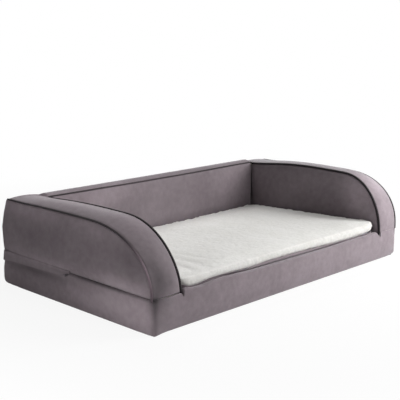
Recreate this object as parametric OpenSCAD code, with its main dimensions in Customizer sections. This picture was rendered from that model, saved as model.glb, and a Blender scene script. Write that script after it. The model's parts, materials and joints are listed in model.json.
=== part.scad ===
// Dog sofa bed: a box base, two arms with rounded fronts, a thin back and a loose mattress.
// The origin is the middle of the underside. X runs along the sofa, Y to its back and Z up.

/* [Overall] */
// Length over the side seams
sofa_l = 1200; // [1000:10:1400]
// Depth over the front and rear seams
sofa_d = 580; // [540:10:660]
// Height of the arm and back seams above the floor
sofa_h = 252; // [235:1:280]
// Height of the seam between the base and the arms
seam_h = 94; // [90:1:102]

/* [Arms and back] */
// Width of an arm between its seams
arm_w = 112; // [90:1:140]
// Length of the straight top of an arm, from the rear seam
arm_flat_l = 385; // [320:5:410]
// Angle above the horizontal at which the curved front of an arm starts
arm_start_angle = 6; // [4:1:10]
// Thickness of the back between its seams
back_t = 42; // [38:1:60]

/* [Padded panels] */
// Thickness of a padded panel at its seams, which is also the width of a piping groove
panel_t = 6; // [5:0.5:7]
// Crown of an arm's outer panel
outer_crown = 10; // [6:1:16]
// Crown of the inner panels of the arms and the back
inner_crown = 4; // [2:0.5:8]
// Crown of the bands on top of the arms and the back
band_crown = 8; // [4:1:12]
// Crown of the front and back border panels and of the back outer panel
border_crown = 6.5; // [4:0.5:9]
// Crown of the side border panels, under the zip
side_border_crown = 3.5; // [2:0.5:4]
// Distance from a seam over which a long panel reaches its full crown
crown_run = 90; // [60:5:120]
// Clearance of a piping cord in its groove, on each side
piping_gap = 0.2; // [0.1:0.05:0.3]

/* [Base] */
// Thickness of the underside cloth
underside_t = 3; // [2:0.5:4]
// Thickness of the base slab foam
slab_t = 36; // [32:1:38]
// Thickness of the deck cloth under the mattress
deck_t = 3; // [2:0.5:4]
// Thickness of the foam in the front lip
lip_foam_t = 6; // [5:0.5:12]
// Thickness of the cloth behind the front lip
lip_lining_t = 3; // [2:0.5:4]
// Thickness of the lip's rolled edge where it meets the arms
lip_edge_t = 1.5; // [1:0.5:3]
// Crown of the lip's rolled edge
lip_crown = 5; // [3:0.5:6]
// Clearance between the ends of the lip's rolled edge and the arms
lip_gap = 0.3; // [0.2:0.1:1]

/* [Mattress] */
// Radius of the mattress corners in plan
mattress_corner_r = 30; // [20:1:60]
// Thickness of the cloth under the mattress
mattress_cloth_t = 3; // [2:0.5:4]
// Thickness of the firm foam in the mattress
support_foam_t = 22; // [18:1:24]
// Thickness of the soft foam at the mattress's rear edge
comfort_foam_t = 14; // [10:1:16]
// How much thicker the soft foam is at the front edge
mattress_rise = 22; // [0:1:26]
// Thickness of the padded border of the mattress
mattress_border_t = 4; // [3:0.5:6]
// How far the mattress border swells out at mid height
mattress_bulge = 2; // [1:0.5:4]
// How far the mattress sides draw in between the corners
mattress_draw = 4; // [2:1:10]
// Thickness of the sherpa at the mattress edge
sherpa_edge_t = 9; // [5:0.5:11]
// Crown of the sherpa top above its edge
sherpa_crown = 12; // [8:1:15]
// Clearance between the sloping top of the mattress foam and the sherpa
foam_gap = 0.1; // [0.1:0.05:0.3]
// Clearance of the mattress at rest and while it lifts out
mattress_gap = 0.5; // [0.3:0.1:2]

/* [Zip] */
// Length of the zip along each side, from the rear seam
zip_side_l = 260; // [200:5:280]
// Height of the opening in the cover that holds the zip
zip_opening_h = 16; // [15:0.5:20]
// Thickness of a row of teeth
row_t = 1.8; // [1.5:0.1:2]
// Height of a row of teeth
row_h = 1.9; // [1.5:0.1:2.2]
// Gap between the two rows
row_gap = 1.1; // [1:0.1:1.5]
// Thickness of the zip tape
tape_t = 0.7; // [0.5:0.1:0.8]
// Length of an end stop
stop_l = 2; // [1.5:0.5:3]
// Length of the slider
slider_l = 9; // [7:0.5:12]
// Height of the slider
slider_h = 9; // [8.5:0.5:11]
// Thickness of each plate of the slider
slider_plate_t = 0.8; // [0.6:0.1:0.9]
// Thickness of the web that joins the two plates between the rows
slider_web_t = 0.5; // [0.3:0.1:0.5]
// Running clearance between the slider and what it passes
slider_gap = 0.3; // [0.2:0.05:0.35]
// Height of the boss under the pull
boss_h = 3.6; // [3.4:0.1:3.8]
// Diameter of the boss under the pull
boss_d = 3; // [2.6:0.2:4]
// Diameter of the pin that the pull swings on
pin_d = 1.6; // [1.4:0.1:2]
// Radial clearance of the pull on its pin
pin_gap = 0.08; // [0.05:0.01:0.1]
// Diameter of the pin's head
head_d = 3; // [2.6:0.2:4]
// Thickness of the pin's head
head_t = 0.6; // [0.4:0.1:0.7]
// Length of the pull from its pin to its free end
pull_l = 13; // [10:0.5:14]
// Diameter of the pull's eye
eye_d = 5.2; // [4.4:0.2:5.6]
// Width of the pull's free end
pull_w = 3.6; // [3:0.2:4.4]
// Thickness of the pull
pull_t = 0.8; // [0.6:0.1:0.9]
// Length of the pull's wider end
grip_l = 5; // [4:0.5:6]
// Clearance between the pin's head and the flap
flap_gap = 0.4; // [0.3:0.05:0.5]
// Thickness of the flap
flap_t = 1.5; // [1:0.1:1.6]
// How far the flap's lower edge lies below the zip along the back and at the rear corners
flap_low_drop = 21; // [14:1:28]
// How far it lies below the zip half way along a side
flap_mid_drop = 6; // [4:1:12]
// How far it lies above the zip at its front end
flap_front_rise = 1; // [-2:0.5:2]

/* [Hidden] */
$fn = 48;

velvet = "#81777B";
velvet_dark = "#6B6166";
piping_black = "#2B2327";
foam_cream = "#E9DFC4";
foam_blue = "#B9CEDA";
lining_grey = "#4E4B50";
sherpa_white = "#ECEAE6";
zip_grey = "#3A3639";
metal_dark = "#4A4848";

// Shares of the crown run at which a long panel is sampled near its ends
end_shares = [0, 0.1, 0.3, 0.6, 1];
// Shares of a panel's height, or of a band's width, at which it is sampled
row_shares = [0, 0.05, 0.15, 0.32, 0.5, 0.68, 0.85, 0.95, 1];
// Shares of the straight top of an arm at which it is sampled
flat_shares = [0, 0.05, 0.12, 0.24, 0.5, 0.78, 1];
// Shares of a mattress side at which it is sampled between its corners
side_shares = [0.04, 0.14, 0.3, 0.5, 0.7, 0.86, 0.96];
// Shares of the mattress half depth at which its top is sampled
dome_shares = [0, 0.012, 0.04, 0.1, 0.22, 0.4, 0.62, 0.85];
// Shares of the mattress border's height at which its swell is sampled
border_shares = [0, 0.2, 0.5, 0.8, 1];
// Power of the swell near a seam, lower for a fuller edge
swell_share = 0.75;
// Part of a band's crown that is left where it meets the front border
band_front_share = 0.3;
// Part of the mattress half depth over which the sherpa top rises
dome_run_share = 0.6;
// Steps along a curved arm front, along a mattress corner and along the middle of a long panel
arc_steps = 12;
corner_steps = 5;
middle_strips = 6;
piping_sides = 8;
overrun = 1;

half_l = sofa_l / 2;
half_d = sofa_d / 2;
foam_x = half_l - panel_t;
foam_y = half_d - panel_t;
foam_top = sofa_h - panel_t;
slab_top = underside_t + slab_t;
deck_top = slab_top + deck_t;
inner_x = half_l - arm_w;
back_face_y = half_d - back_t;
back_foam_y = back_face_y + panel_t;
lip_t = panel_t + lip_foam_t + lip_lining_t;
piping_r = panel_t / 2 - piping_gap;
piping_corner_r = piping_r / cos(180 / piping_sides);
arm_curve_y = half_d - arm_flat_l;
arm_curve_a = (arm_curve_y + half_d) / cos(arm_start_angle);
arm_curve_b = sofa_h - seam_h;

zip_front_y = half_d - zip_side_l;
zip_low_h = seam_h - zip_opening_h / 2;
zip_high_h = seam_h + zip_opening_h / 2;
row_in = 2 * slider_gap + slider_plate_t;
row_out = row_in + row_t;
row_near = row_gap / 2;
row_far = row_near + row_h;
tape_in = (row_in + row_out - tape_t) / 2;
tape_out = tape_in + tape_t;
slider_front_d = row_out + slider_gap;
plate_out = slider_front_d + slider_plate_t;
boss_out = plate_out + boss_h;
pull_in = boss_out + slider_gap;
pull_out = pull_in + pull_t;
head_in = pull_out + slider_gap;
head_out = head_in + head_t;
flap_in = head_out + flap_gap;
flap_out = flap_in + flap_t;
flap_low_h = seam_h - flap_low_drop;
flap_mid_h = seam_h - flap_mid_drop;
flap_front_h = seam_h + flap_front_rise;
slider_y = zip_front_y + stop_l + slider_gap + slider_l / 2;

mattress_l = 2 * (inner_x - inner_crown - mattress_gap - mattress_bulge);
mattress_front_y = mattress_gap + mattress_bulge + lip_t - half_d;
mattress_rear_y = back_face_y - inner_crown - mattress_gap - mattress_bulge;
mattress_d = mattress_rear_y - mattress_front_y;
mattress_mid_y = (mattress_rear_y + mattress_front_y) / 2;
mattress_low_h = deck_top + mattress_gap;
mattress_foam_h = mattress_low_h + mattress_cloth_t;
comfort_h = mattress_foam_h + support_foam_t;
sherpa_h = comfort_h + comfort_foam_t;

// Swell of a padded surface at a distance from its seam: 0 at the seam, 1 past the run
function swell(distance, run) = pow(sin(90 * min(distance / run, 1)), swell_share);

// Swell across a strip with a seam on both sides, at a share of its width
function arch(share) = pow(sin(180 * share), swell_share);

// Places along a long panel, closer together near its ends
function stations(length, run) = concat(
    [for (s = end_shares) s * run],
    [for (k = [1:1:middle_strips - 1]) run + (length - 2 * run) * k / middle_strips],
    [for (k = [len(end_shares) - 1:-1:0]) length - end_shares[k] * run]
);

// Heights of a panel's rows with the swell of each: flat from low to start, crowned from there up
function panel_rows(low, start, high) = concat(
    low < start ? [[low, 0]] : [],
    [for (s = row_shares) [start + s * (high - start), arch(s)]]
);

// Seam line of an arm in the YZ plane: along its top from the rear, then down its round front
arm_line = concat(
    [for (s = flat_shares) [half_d - s * arm_flat_l, sofa_h]],
    [for (k = [1:arc_steps]) arm_curve(90 - k * (90 - arm_start_angle) / arc_steps)],
    [[-half_d, seam_h]]
);

function arm_curve(angle) = [
    arm_curve_y - arm_curve_a * cos(angle),
    seam_h + arm_curve_b * sin(angle)
];

// Outward direction of the seam line at each of its points, long enough to keep offsets parallel
arm_outs = [for (i = [0:len(arm_line) - 1]) corner_out(arm_line, i)];

function edge_out(line, i) =
    let (v = line[i + 1] - line[i])
    [v[1], -v[0]] / norm(v);

function corner_out(line, i) =
    i == 0 ? edge_out(line, 0)
    : i == len(line) - 1 ? edge_out(line, i - 1)
    : let (a = edge_out(line, i - 1), b = edge_out(line, i)) (a + b) / (1 + a * b);

// Outline of the arm foam's top, one panel thickness inside the seam line
foam_line = [for (i = [0:len(arm_line) - 1]) arm_line[i] - panel_t * arm_outs[i]];

// Plan outline of the mattress, counted anticlockwise, with its sides drawn in
function mattress_ring(inset, out, draw) =
    let (
        hx = mattress_l / 2 - inset + out,
        hy = mattress_d / 2 - inset + out,
        r = max(mattress_corner_r - inset, mattress_border_t)
    )
    [for (q = [0:3]) each concat(
        [for (k = [0:corner_steps])
            corner_centre(q, hx - r, hy - r) + r * heading(90 * (q + k / corner_steps))],
        [for (s = side_shares)
            (1 - s) * corner_centre(q, hx - r, hy - r)
            + s * corner_centre(q + 1, hx - r, hy - r)
            + (r - draw * sin(180 * s)) * heading(90 * (q + 1))]
    )];

function heading(angle) = [cos(angle), sin(angle)];

function corner_centre(q, x, y) = [
    (q % 4 == 0 || q % 4 == 3 ? 1 : -1) * x,
    mattress_mid_y + (q % 4 < 2 ? 1 : -1) * y
];

// Height that the mattress has gained at a place in front of its rear edge
function mattress_gain(y) = mattress_rise * (mattress_rear_y - y) / mattress_d;

// Ring in plan set at a height, with a share of the height that the mattress gains to the front
function raised(ring, z, gain_share = 1) =
    [for (p = ring) [p[0], p[1], z + gain_share * mattress_gain(p[1])]];

// Closed solid between a grid of face points and the rim of a matching grid behind it.
// The first index runs along and the second across, and along times across points outwards.
module padded_solid(face, back) {
    along = len(face) - 1;
    across = len(face[0]) - 1;
    total = len(face) * len(face[0]);
    function f(i, j) = i * (across + 1) + j;
    function b(i, j) = total + f(i, j);
    faces = concat(
        [for (i = [0:along - 1], j = [0:across - 1]) [f(i, j), f(i, j + 1), f(i + 1, j + 1)]],
        [for (i = [0:along - 1], j = [0:across - 1]) [f(i, j), f(i + 1, j + 1), f(i + 1, j)]],
        [for (i = [0:along - 1]) [f(i, 0), f(i + 1, 0), b(i + 1, 0)]],
        [for (i = [0:along - 1]) [f(i, 0), b(i + 1, 0), b(i, 0)]],
        [for (i = [0:along - 1]) [f(i + 1, across), f(i, across), b(i, across)]],
        [for (i = [0:along - 1]) [f(i + 1, across), b(i, across), b(i + 1, across)]],
        [for (j = [0:across - 1]) [f(0, j + 1), f(0, j), b(0, j)]],
        [for (j = [0:across - 1]) [f(0, j + 1), b(0, j), b(0, j + 1)]],
        [for (j = [0:across - 1]) [f(along, j), f(along, j + 1), b(along, j + 1)]],
        [for (j = [0:across - 1]) [f(along, j), b(along, j + 1), b(along, j)]],
        [for (j = [0:across - 1]) [b(1, 0), b(0, j + 1), b(0, j)]],
        [[b(1, 0), b(1, across), b(0, across)]],
        [for (i = [1:1:along - 2]) [b(i, 0), b(i + 1, 0), b(i + 1, across)]],
        [for (i = [1:1:along - 2]) [b(i, 0), b(i + 1, across), b(i, across)]],
        [for (j = [0:across - 1]) [b(along - 1, 0), b(along, j), b(along, j + 1)]],
        [[b(along - 1, 0), b(along, across), b(along - 1, across)]]
    );
    polyhedron(concat([for (line = face) each line], [for (line = back) each line]), faces);
}

// Crowned upright panel that faces the front, with its seams in the plane y = 0
module flat_panel(length, low, start, high, crown, end_mitre = 0, top_mitre = 0) {
    rows = panel_rows(low, start, high);
    places = stations(length, crown_run);
    shrink = (length - 2 * end_mitre) / length;
    face = [for (s = places) [for (r = rows)
        [s - length / 2, -crown * r[1] * swell(min(s, length - s), crown_run), r[0]]]];
    back = [for (s = places) [for (r = rows)
        [(s - length / 2) * shrink, panel_t, r[0] - (r[0] == high ? top_mitre : 0)]]];
    padded_solid(face, back);
}

// Crowned panel with the outline of an arm, facing left, with its seams in the plane x = 0.
// It stays flat over rear_flat, where another panel butts against it.
module arm_side_panel(low, rear, crown, rear_mitre, rear_flat) {
    columns = concat(
        [[rear, foam_top]],
        rear_flat > 0 ? [[rear - rear_flat, foam_top]] : [],
        [for (i = [1:len(foam_line) - 2]) if (foam_line[i][0] < rear - panel_t) foam_line[i]]
    );
    last = len(columns) - 1;
    face = [for (c = columns) [for (r = panel_rows(low, seam_h, c[1]))
        let (distance = max(0, min(rear - rear_flat - c[0], c[0] + foam_y)))
        [-crown * r[1] * swell(distance, crown_run), c[0], r[0]]]];
    back = [for (i = [0:last]) [for (r = panel_rows(low, seam_h, columns[i][1]))
        [panel_t, columns[i][0] - (i == 0 ? rear_mitre : 0), r[0]]]];
    padded_solid(face, back);
}

// Swell of an arm's band along its line, none at the rear seam and little at the front border
function band_swell(p) =
    swell(half_d - p[0], crown_run)
    * (band_front_share + (1 - band_front_share) * swell(p[1] - seam_h, crown_run));

// Crowned strip over the top and down the front of the left arm
module arm_band() {
    width = arm_w - 2 * panel_t;
    last = len(arm_line) - 1;
    rim = concat([[foam_y, foam_top]], [for (i = [1:last]) foam_line[i]]);
    face = [for (i = [0:last]) [for (s = row_shares)
        let (p = arm_line[i] + band_crown * band_swell(arm_line[i]) * arch(s) * arm_outs[i])
        [s * width - foam_x, p[0], p[1]]]];
    back = [for (i = [0:last]) [for (s = row_shares) [s * width - foam_x, rim[i][0], rim[i][1]]]];
    padded_solid(face, back);
}

// Piping cord along an arm's seam line, in the plane x = 0
module arm_piping() {
    start = [foam_y, sofa_h];
    line = concat([start], [for (i = [1:len(arm_line) - 1]) arm_line[i]]);
    last = len(line) - 1;
    n = piping_sides;
    points = [for (i = [0:last], k = [0:n - 1])
        let (
            angle = 360 * (k + 1 / 2) / n,
            p = line[i] + (piping_corner_r * sin(angle) - panel_t / 2) * arm_outs[i]
        )
        [piping_corner_r * cos(angle), p[0], p[1]]];
    function at(i, k) = i * n + k % n;
    faces = concat(
        [for (i = [0:last - 1], k = [0:n - 1]) [at(i, k), at(i + 1, k), at(i + 1, k + 1)]],
        [for (i = [0:last - 1], k = [0:n - 1]) [at(i, k), at(i + 1, k + 1), at(i, k + 1)]],
        [for (k = [1:n - 2]) [at(0, 0), at(0, k), at(0, k + 1)]],
        [for (k = [1:n - 2]) [at(last, 0), at(last, k + 1), at(last, k)]]
    );
    polyhedron(points, faces);
}

// Solid of rings stacked from its lowest ring, closed by a fan at each end
module domed_solid(rings, low_point, high_point) {
    n = len(rings[0]);
    last = len(rings) - 1;
    total = n * len(rings);
    function at(i, k) = i * n + k % n;
    faces = concat(
        [for (i = [0:last - 1], k = [0:n - 1]) [at(i, k), at(i + 1, k), at(i + 1, k + 1)]],
        [for (i = [0:last - 1], k = [0:n - 1]) [at(i, k), at(i + 1, k + 1), at(i, k + 1)]],
        [for (k = [0:n - 1]) [total, at(0, k), at(0, k + 1)]],
        [for (k = [0:n - 1]) [total + 1, at(last, k + 1), at(last, k)]]
    );
    polyhedron(concat([for (ring = rings) each ring], [low_point, high_point]), faces);
}

// Closed loop of rings, such as a hollow border
module looped_solid(rings) {
    n = len(rings[0]);
    m = len(rings);
    function at(i, k) = (i % m) * n + k % n;
    faces = concat(
        [for (i = [0:m - 1], k = [0:n - 1]) [at(i, k), at(i + 1, k), at(i + 1, k + 1)]],
        [for (i = [0:m - 1], k = [0:n - 1]) [at(i, k), at(i + 1, k + 1), at(i, k + 1)]]
    );
    polyhedron([for (ring = rings) each ring], faces);
}

// Box between two opposite corners
module box(low, high) {
    translate(low)
        cube(high - low);
}

// Runs a profile round the rear of the foam: its x is the distance out of the foam, its y the height
module wrapped_round(side_l) {
    translate([-foam_x, foam_y, 0])
        mirror([1, 0, 0])
            rotate([90, 0, 0])
                linear_extrude(side_l)
                    children();
    translate([-foam_x, foam_y, 0])
        rotate([0, 0, 90])
            rotate_extrude(angle = 90)
                children();
    translate([-foam_x, foam_y, 0])
        rotate([90, 0, 90])
            linear_extrude(2 * foam_x)
                children();
    translate([foam_x, foam_y, 0])
        rotate_extrude(angle = 90)
            children();
    translate([foam_x, foam_y, 0])
        rotate([90, 0, 0])
            linear_extrude(side_l)
                children();
}

// Rectangle of a zip profile between two distances from the foam and two heights
module zip_strip(in, out, low, high) {
    translate([in, low])
        square([out - in, high - low]);
}

// Space that the zip needs in a side panel of the cover
module zip_space() {
    box(
        [-outer_crown - overrun, zip_front_y, zip_low_h],
        [panel_t + overrun, half_d + overrun, zip_high_h]
    );
}

module on_the_right() {
    mirror([1, 0, 0])
        children();
}

module base_slab_foam() {
    color(foam_cream)
        box([-foam_x, -foam_y, underside_t], [foam_x, foam_y, slab_top]);
}

module left_arm_foam() {
    outline = concat([[foam_y, slab_top], [foam_y, foam_top]],
        [for (i = [1:len(foam_line) - 1]) foam_line[i]], [[-foam_y, slab_top]]);
    color(foam_cream)
        translate([-foam_x, 0, 0])
            rotate([90, 0, 90])
                linear_extrude(arm_w - 2 * panel_t)
                    polygon(outline);
}

module right_arm_foam() {
    on_the_right()
        left_arm_foam();
}

module back_foam() {
    color(foam_cream)
        box([-inner_x - panel_t, back_foam_y, slab_top], [inner_x + panel_t, foam_y, foam_top]);
}

module lip_foam() {
    color(foam_cream)
        box([-inner_x, -foam_y, slab_top], [inner_x, lip_foam_t - foam_y, seam_h]);
}

module underside_panel() {
    color(lining_grey)
        box([-foam_x, -foam_y, 0], [foam_x, foam_y, underside_t]);
}

module deck_panel() {
    color(lining_grey)
        box([-inner_x, lip_t - half_d, slab_top], [inner_x, back_face_y, deck_top]);
}

module lip_lining() {
    color(velvet_dark)
        box([-inner_x, lip_foam_t - foam_y, slab_top], [inner_x, lip_t - half_d, seam_h]);
}

// Rolled top edge of the front lip
module lip_roll() {
    length = 2 * (inner_x - lip_gap);
    places = stations(length, crown_run);
    face = [for (s = places) [for (w = row_shares)
        [s - length / 2, w * lip_t - half_d,
        seam_h + lip_edge_t + lip_crown * arch(w) * swell(min(s, length - s), crown_run)]]];
    back = [for (s = places) [for (w = row_shares) [s - length / 2, w * lip_t - half_d, seam_h]]];
    color(velvet)
        padded_solid(face, back);
}

module front_border() {
    color(velvet)
        translate([0, -half_d, 0])
            flat_panel(sofa_l, 0, 0, seam_h, border_crown, panel_t);
}

module back_border() {
    color(velvet)
        translate([0, half_d, 0])
            rotate([0, 0, 180])
                flat_panel(sofa_l, 0, 0, zip_low_h, border_crown, panel_t);
}

module left_border() {
    color(velvet_dark)
        difference() {
            translate([-half_l, 0, 0])
                rotate([0, 0, -90])
                    flat_panel(sofa_d, 0, 0, seam_h, side_border_crown, panel_t);
            translate([-half_l, 0, 0])
                zip_space();
        }
}

module right_border() {
    on_the_right()
        left_border();
}

module left_arm_outer_panel() {
    color(velvet_dark)
        translate([-half_l, 0, 0])
            difference() {
                arm_side_panel(seam_h, half_d, outer_crown, panel_t, 0);
                zip_space();
            }
}

module right_arm_outer_panel() {
    on_the_right()
        left_arm_outer_panel();
}

module left_arm_inner_panel() {
    color(velvet)
        translate([-inner_x, 0, 0])
            mirror([1, 0, 0])
                arm_side_panel(slab_top, back_foam_y, inner_crown, 0, panel_t);
}

module right_arm_inner_panel() {
    on_the_right()
        left_arm_inner_panel();
}

module left_arm_band() {
    color(velvet)
        arm_band();
}

module right_arm_band() {
    on_the_right()
        left_arm_band();
}

module back_inner_panel() {
    color(velvet)
        translate([0, back_face_y, 0])
            flat_panel(2 * inner_x, slab_top, seam_h, foam_top, inner_crown);
}

module back_outer_panel() {
    color(velvet_dark)
        translate([0, half_d, 0])
            rotate([0, 0, 180])
                flat_panel(sofa_l, zip_high_h, zip_high_h, sofa_h, border_crown, panel_t, panel_t);
}

// Crowned strip along the top of the back
module back_top_band() {
    length = 2 * inner_x;
    width = half_d - back_foam_y;
    places = stations(length, crown_run);
    face = [for (s = places) [for (w = row_shares)
        [s - length / 2, back_foam_y + w * width,
        sofa_h + band_crown * arch(w) * swell(min(s, length - s), crown_run)]]];
    back = [for (s = places) [for (w = row_shares)
        [s - length / 2, back_foam_y + w * (width - panel_t), foam_top]]];
    color(velvet)
        padded_solid(face, back);
}

module left_outer_piping() {
    color(piping_black)
        translate([panel_t / 2 - half_l, 0, 0])
            arm_piping();
}

module left_inner_piping() {
    color(piping_black)
        translate([-inner_x - panel_t / 2, 0, 0])
            arm_piping();
}

module right_outer_piping() {
    on_the_right()
        left_outer_piping();
}

module right_inner_piping() {
    on_the_right()
        left_inner_piping();
}

module back_piping() {
    color(piping_black)
        translate([-inner_x, back_face_y + panel_t / 2, sofa_h - panel_t / 2])
            rotate([0, 90, 0])
                rotate([0, 0, 180 / piping_sides])
                    cylinder(h = 2 * inner_x, r = piping_corner_r, $fn = piping_sides);
}

module zip_tape_lower() {
    color(zip_grey)
        wrapped_round(foam_y - zip_front_y)
            zip_strip(tape_in, tape_out, zip_low_h, seam_h - row_far);
}

module zip_tape_upper() {
    color(zip_grey)
        wrapped_round(foam_y - zip_front_y)
            zip_strip(tape_in, tape_out, seam_h + row_far, zip_high_h);
}

module zip_row_lower() {
    color(zip_grey)
        wrapped_round(foam_y - zip_front_y - stop_l)
            zip_strip(row_in, row_out, seam_h - row_far, seam_h - row_near);
}

module zip_row_upper() {
    color(zip_grey)
        wrapped_round(foam_y - zip_front_y - stop_l)
            zip_strip(row_in, row_out, seam_h + row_near, seam_h + row_far);
}

module zip_stops() {
    color(metal_dark)
        for (side = [-1, 1])
            translate([side * (foam_x + (row_in + row_out) / 2), zip_front_y + stop_l / 2, seam_h])
                cube([row_t, stop_l, 2 * row_far], center = true);
}

// Line of the flap's lower edge along a side, as an area in YZ that is cut away below it
module below_flap_edge() {
    mid_y = (zip_front_y + foam_y) / 2;
    polygon([
        [zip_front_y - overrun, flap_front_h],
        [zip_front_y, flap_front_h],
        [mid_y, flap_mid_h],
        [foam_y, flap_low_h],
        [foam_y, flap_low_h - overrun],
        [zip_front_y - overrun, flap_low_h - overrun]
    ]);
}

// Flap sewn under the lower edge of the arm and back panels, standing clear of the slider
module zip_flap() {
    profile = [
        [panel_t - 2 * flap_t, zip_high_h],
        [panel_t - 2 * flap_t, zip_high_h - flap_t],
        [panel_t - flap_t / 2, zip_high_h - flap_t],
        [flap_in, seam_h + eye_d / 2 + flap_t],
        [flap_in, flap_low_h],
        [flap_out, flap_low_h],
        [flap_out, seam_h + eye_d / 2 + 2 * flap_t],
        [panel_t, zip_high_h]
    ];
    color(velvet_dark)
        difference() {
            wrapped_round(foam_y - zip_front_y)
                polygon(profile);
            translate([-half_l - overrun - flap_out, 0, 0])
                rotate([90, 0, 90])
                    linear_extrude(sofa_l + 2 * (overrun + flap_out))
                        below_flap_edge();
        }
}

// Profile of the slider: two plates round the rows, a web between them and lips round the tapes
module slider_profile() {
    lip_near = row_far + slider_gap;
    zip_strip(slider_gap, slider_gap + slider_plate_t, -slider_h / 2, slider_h / 2);
    zip_strip(slider_front_d, plate_out, -slider_h / 2, slider_h / 2);
    zip_strip(slider_gap, plate_out, -slider_web_t / 2, slider_web_t / 2);
    for (side = [0, 1])
        mirror([0, side]) {
            zip_strip(slider_gap, tape_in - slider_gap, lip_near, slider_h / 2);
            zip_strip(tape_out + slider_gap, plate_out, lip_near, slider_h / 2);
        }
}

module zip_slider() {
    color(metal_dark)
        translate([-foam_x, slider_y, seam_h])
            mirror([1, 0, 0]) {
                translate([0, slider_l / 2, 0])
                    rotate([90, 0, 0])
                        linear_extrude(slider_l)
                            slider_profile();
                rotate([0, 90, 0]) {
                    cylinder_between(slider_front_d, boss_out, boss_d);
                    cylinder_between(slider_front_d, head_out, pin_d);
                    cylinder_between(head_in, head_out, head_d);
                }
            }
}

// Cylinder along the axis between two heights
module cylinder_between(low, high, d) {
    translate([0, 0, low])
        cylinder(h = high - low, d = d);
}

module zip_pull() {
    color(metal_dark)
        translate([-foam_x, slider_y, seam_h])
            mirror([1, 0, 0])
                translate([pull_in, 0, 0])
                    rotate([90, 0, 90])
                        linear_extrude(pull_t)
                            pull_outline();
}

// Outline of the pull: an eye on its pin, a neck and a wider end
module pull_outline() {
    difference() {
        union() {
            circle(d = eye_d);
            translate([-pull_w / 4, -pull_l + pull_w / 2])
                square([pull_w / 2, pull_l - pull_w / 2]);
            translate([-pull_w / 2, -pull_l + pull_w / 2])
                square([pull_w, grip_l - pull_w / 2]);
            translate([0, -pull_l + pull_w / 2])
                circle(d = pull_w);
        }
        circle(d = pin_d + 2 * pin_gap);
    }
}

module mattress_slice(low, high) {
    translate([0, 0, low])
        linear_extrude(high - low)
            polygon(mattress_ring(mattress_border_t, 0, mattress_draw));
}

module mattress_underside() {
    color(lining_grey)
        translate([0, 0, mattress_low_h])
            linear_extrude(mattress_cloth_t)
                polygon(mattress_ring(0, 0, mattress_draw));
}

module mattress_support_foam() {
    color(foam_cream)
        mattress_slice(mattress_foam_h, comfort_h);
}

module mattress_comfort_foam() {
    color(foam_blue)
        difference() {
            mattress_slice(comfort_h, sherpa_h + mattress_rise);
            above_mattress_foam();
        }
}

// Space over the sloping top of the mattress foam
module above_mattress_foam() {
    rear = mattress_rear_y + overrun;
    front = mattress_front_y - overrun;
    foam_h = sherpa_h - foam_gap;
    high = foam_h + mattress_gain(front) + overrun;
    translate([-mattress_l / 2, 0, 0])
        rotate([90, 0, 90])
            linear_extrude(mattress_l)
                polygon([
                    [rear, foam_h + mattress_gain(rear)],
                    [rear, high],
                    [front, high],
                    [front, foam_h + mattress_gain(front)]
                ]);
}

module mattress_border() {
    height = sherpa_h - mattress_foam_h;
    inner = mattress_ring(mattress_border_t, 0, mattress_draw);
    rings = concat(
        [for (s = border_shares)
            raised(mattress_ring(0, mattress_bulge * sin(180 * s), mattress_draw),
                mattress_foam_h + s * height, s)],
        [raised(inner, sherpa_h), raised(inner, mattress_foam_h, 0)]
    );
    color(velvet)
        looped_solid(rings);
}

module mattress_sherpa_top() {
    reach = mattress_d / 2;
    edge_h = sherpa_h + sherpa_edge_t;
    rings = concat(
        [raised(mattress_ring(0, 0, mattress_draw), sherpa_h)],
        [for (s = dome_shares)
            raised(mattress_ring(s * reach, 0, mattress_draw * (1 - s)),
                edge_h + sherpa_crown * swell(s, dome_run_share))]
    );
    gain = mattress_gain(mattress_mid_y);
    color(sherpa_white)
        domed_solid(rings, [0, mattress_mid_y, sherpa_h + gain],
            [0, mattress_mid_y, edge_h + sherpa_crown + gain]);
}

base_slab_foam();
left_arm_foam();
right_arm_foam();
back_foam();
lip_foam();
underside_panel();
deck_panel();
lip_lining();
lip_roll();
front_border();
left_border();
right_border();
back_border();
left_arm_outer_panel();
right_arm_outer_panel();
left_arm_inner_panel();
right_arm_inner_panel();
left_arm_band();
right_arm_band();
back_inner_panel();
back_outer_panel();
back_top_band();
left_outer_piping();
left_inner_piping();
right_outer_piping();
right_inner_piping();
back_piping();
zip_tape_lower();
zip_tape_upper();
zip_row_lower();
zip_row_upper();
zip_stops();
zip_flap();
zip_slider();
zip_pull();
mattress_underside();
mattress_support_foam();
mattress_comfort_foam();
mattress_border();
mattress_sherpa_top();
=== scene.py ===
"""Looks of the dog sofa bed: a velvet cover with dark piping and a zip, round a loose sherpa mattress.

Lengths are in metres. X runs along the sofa to the right arm, Y to its back and Z up.
"""

import itertools
import json
import math

import bmesh
import bpy
import numpy as np
from mathutils import Matrix, Vector


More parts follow.
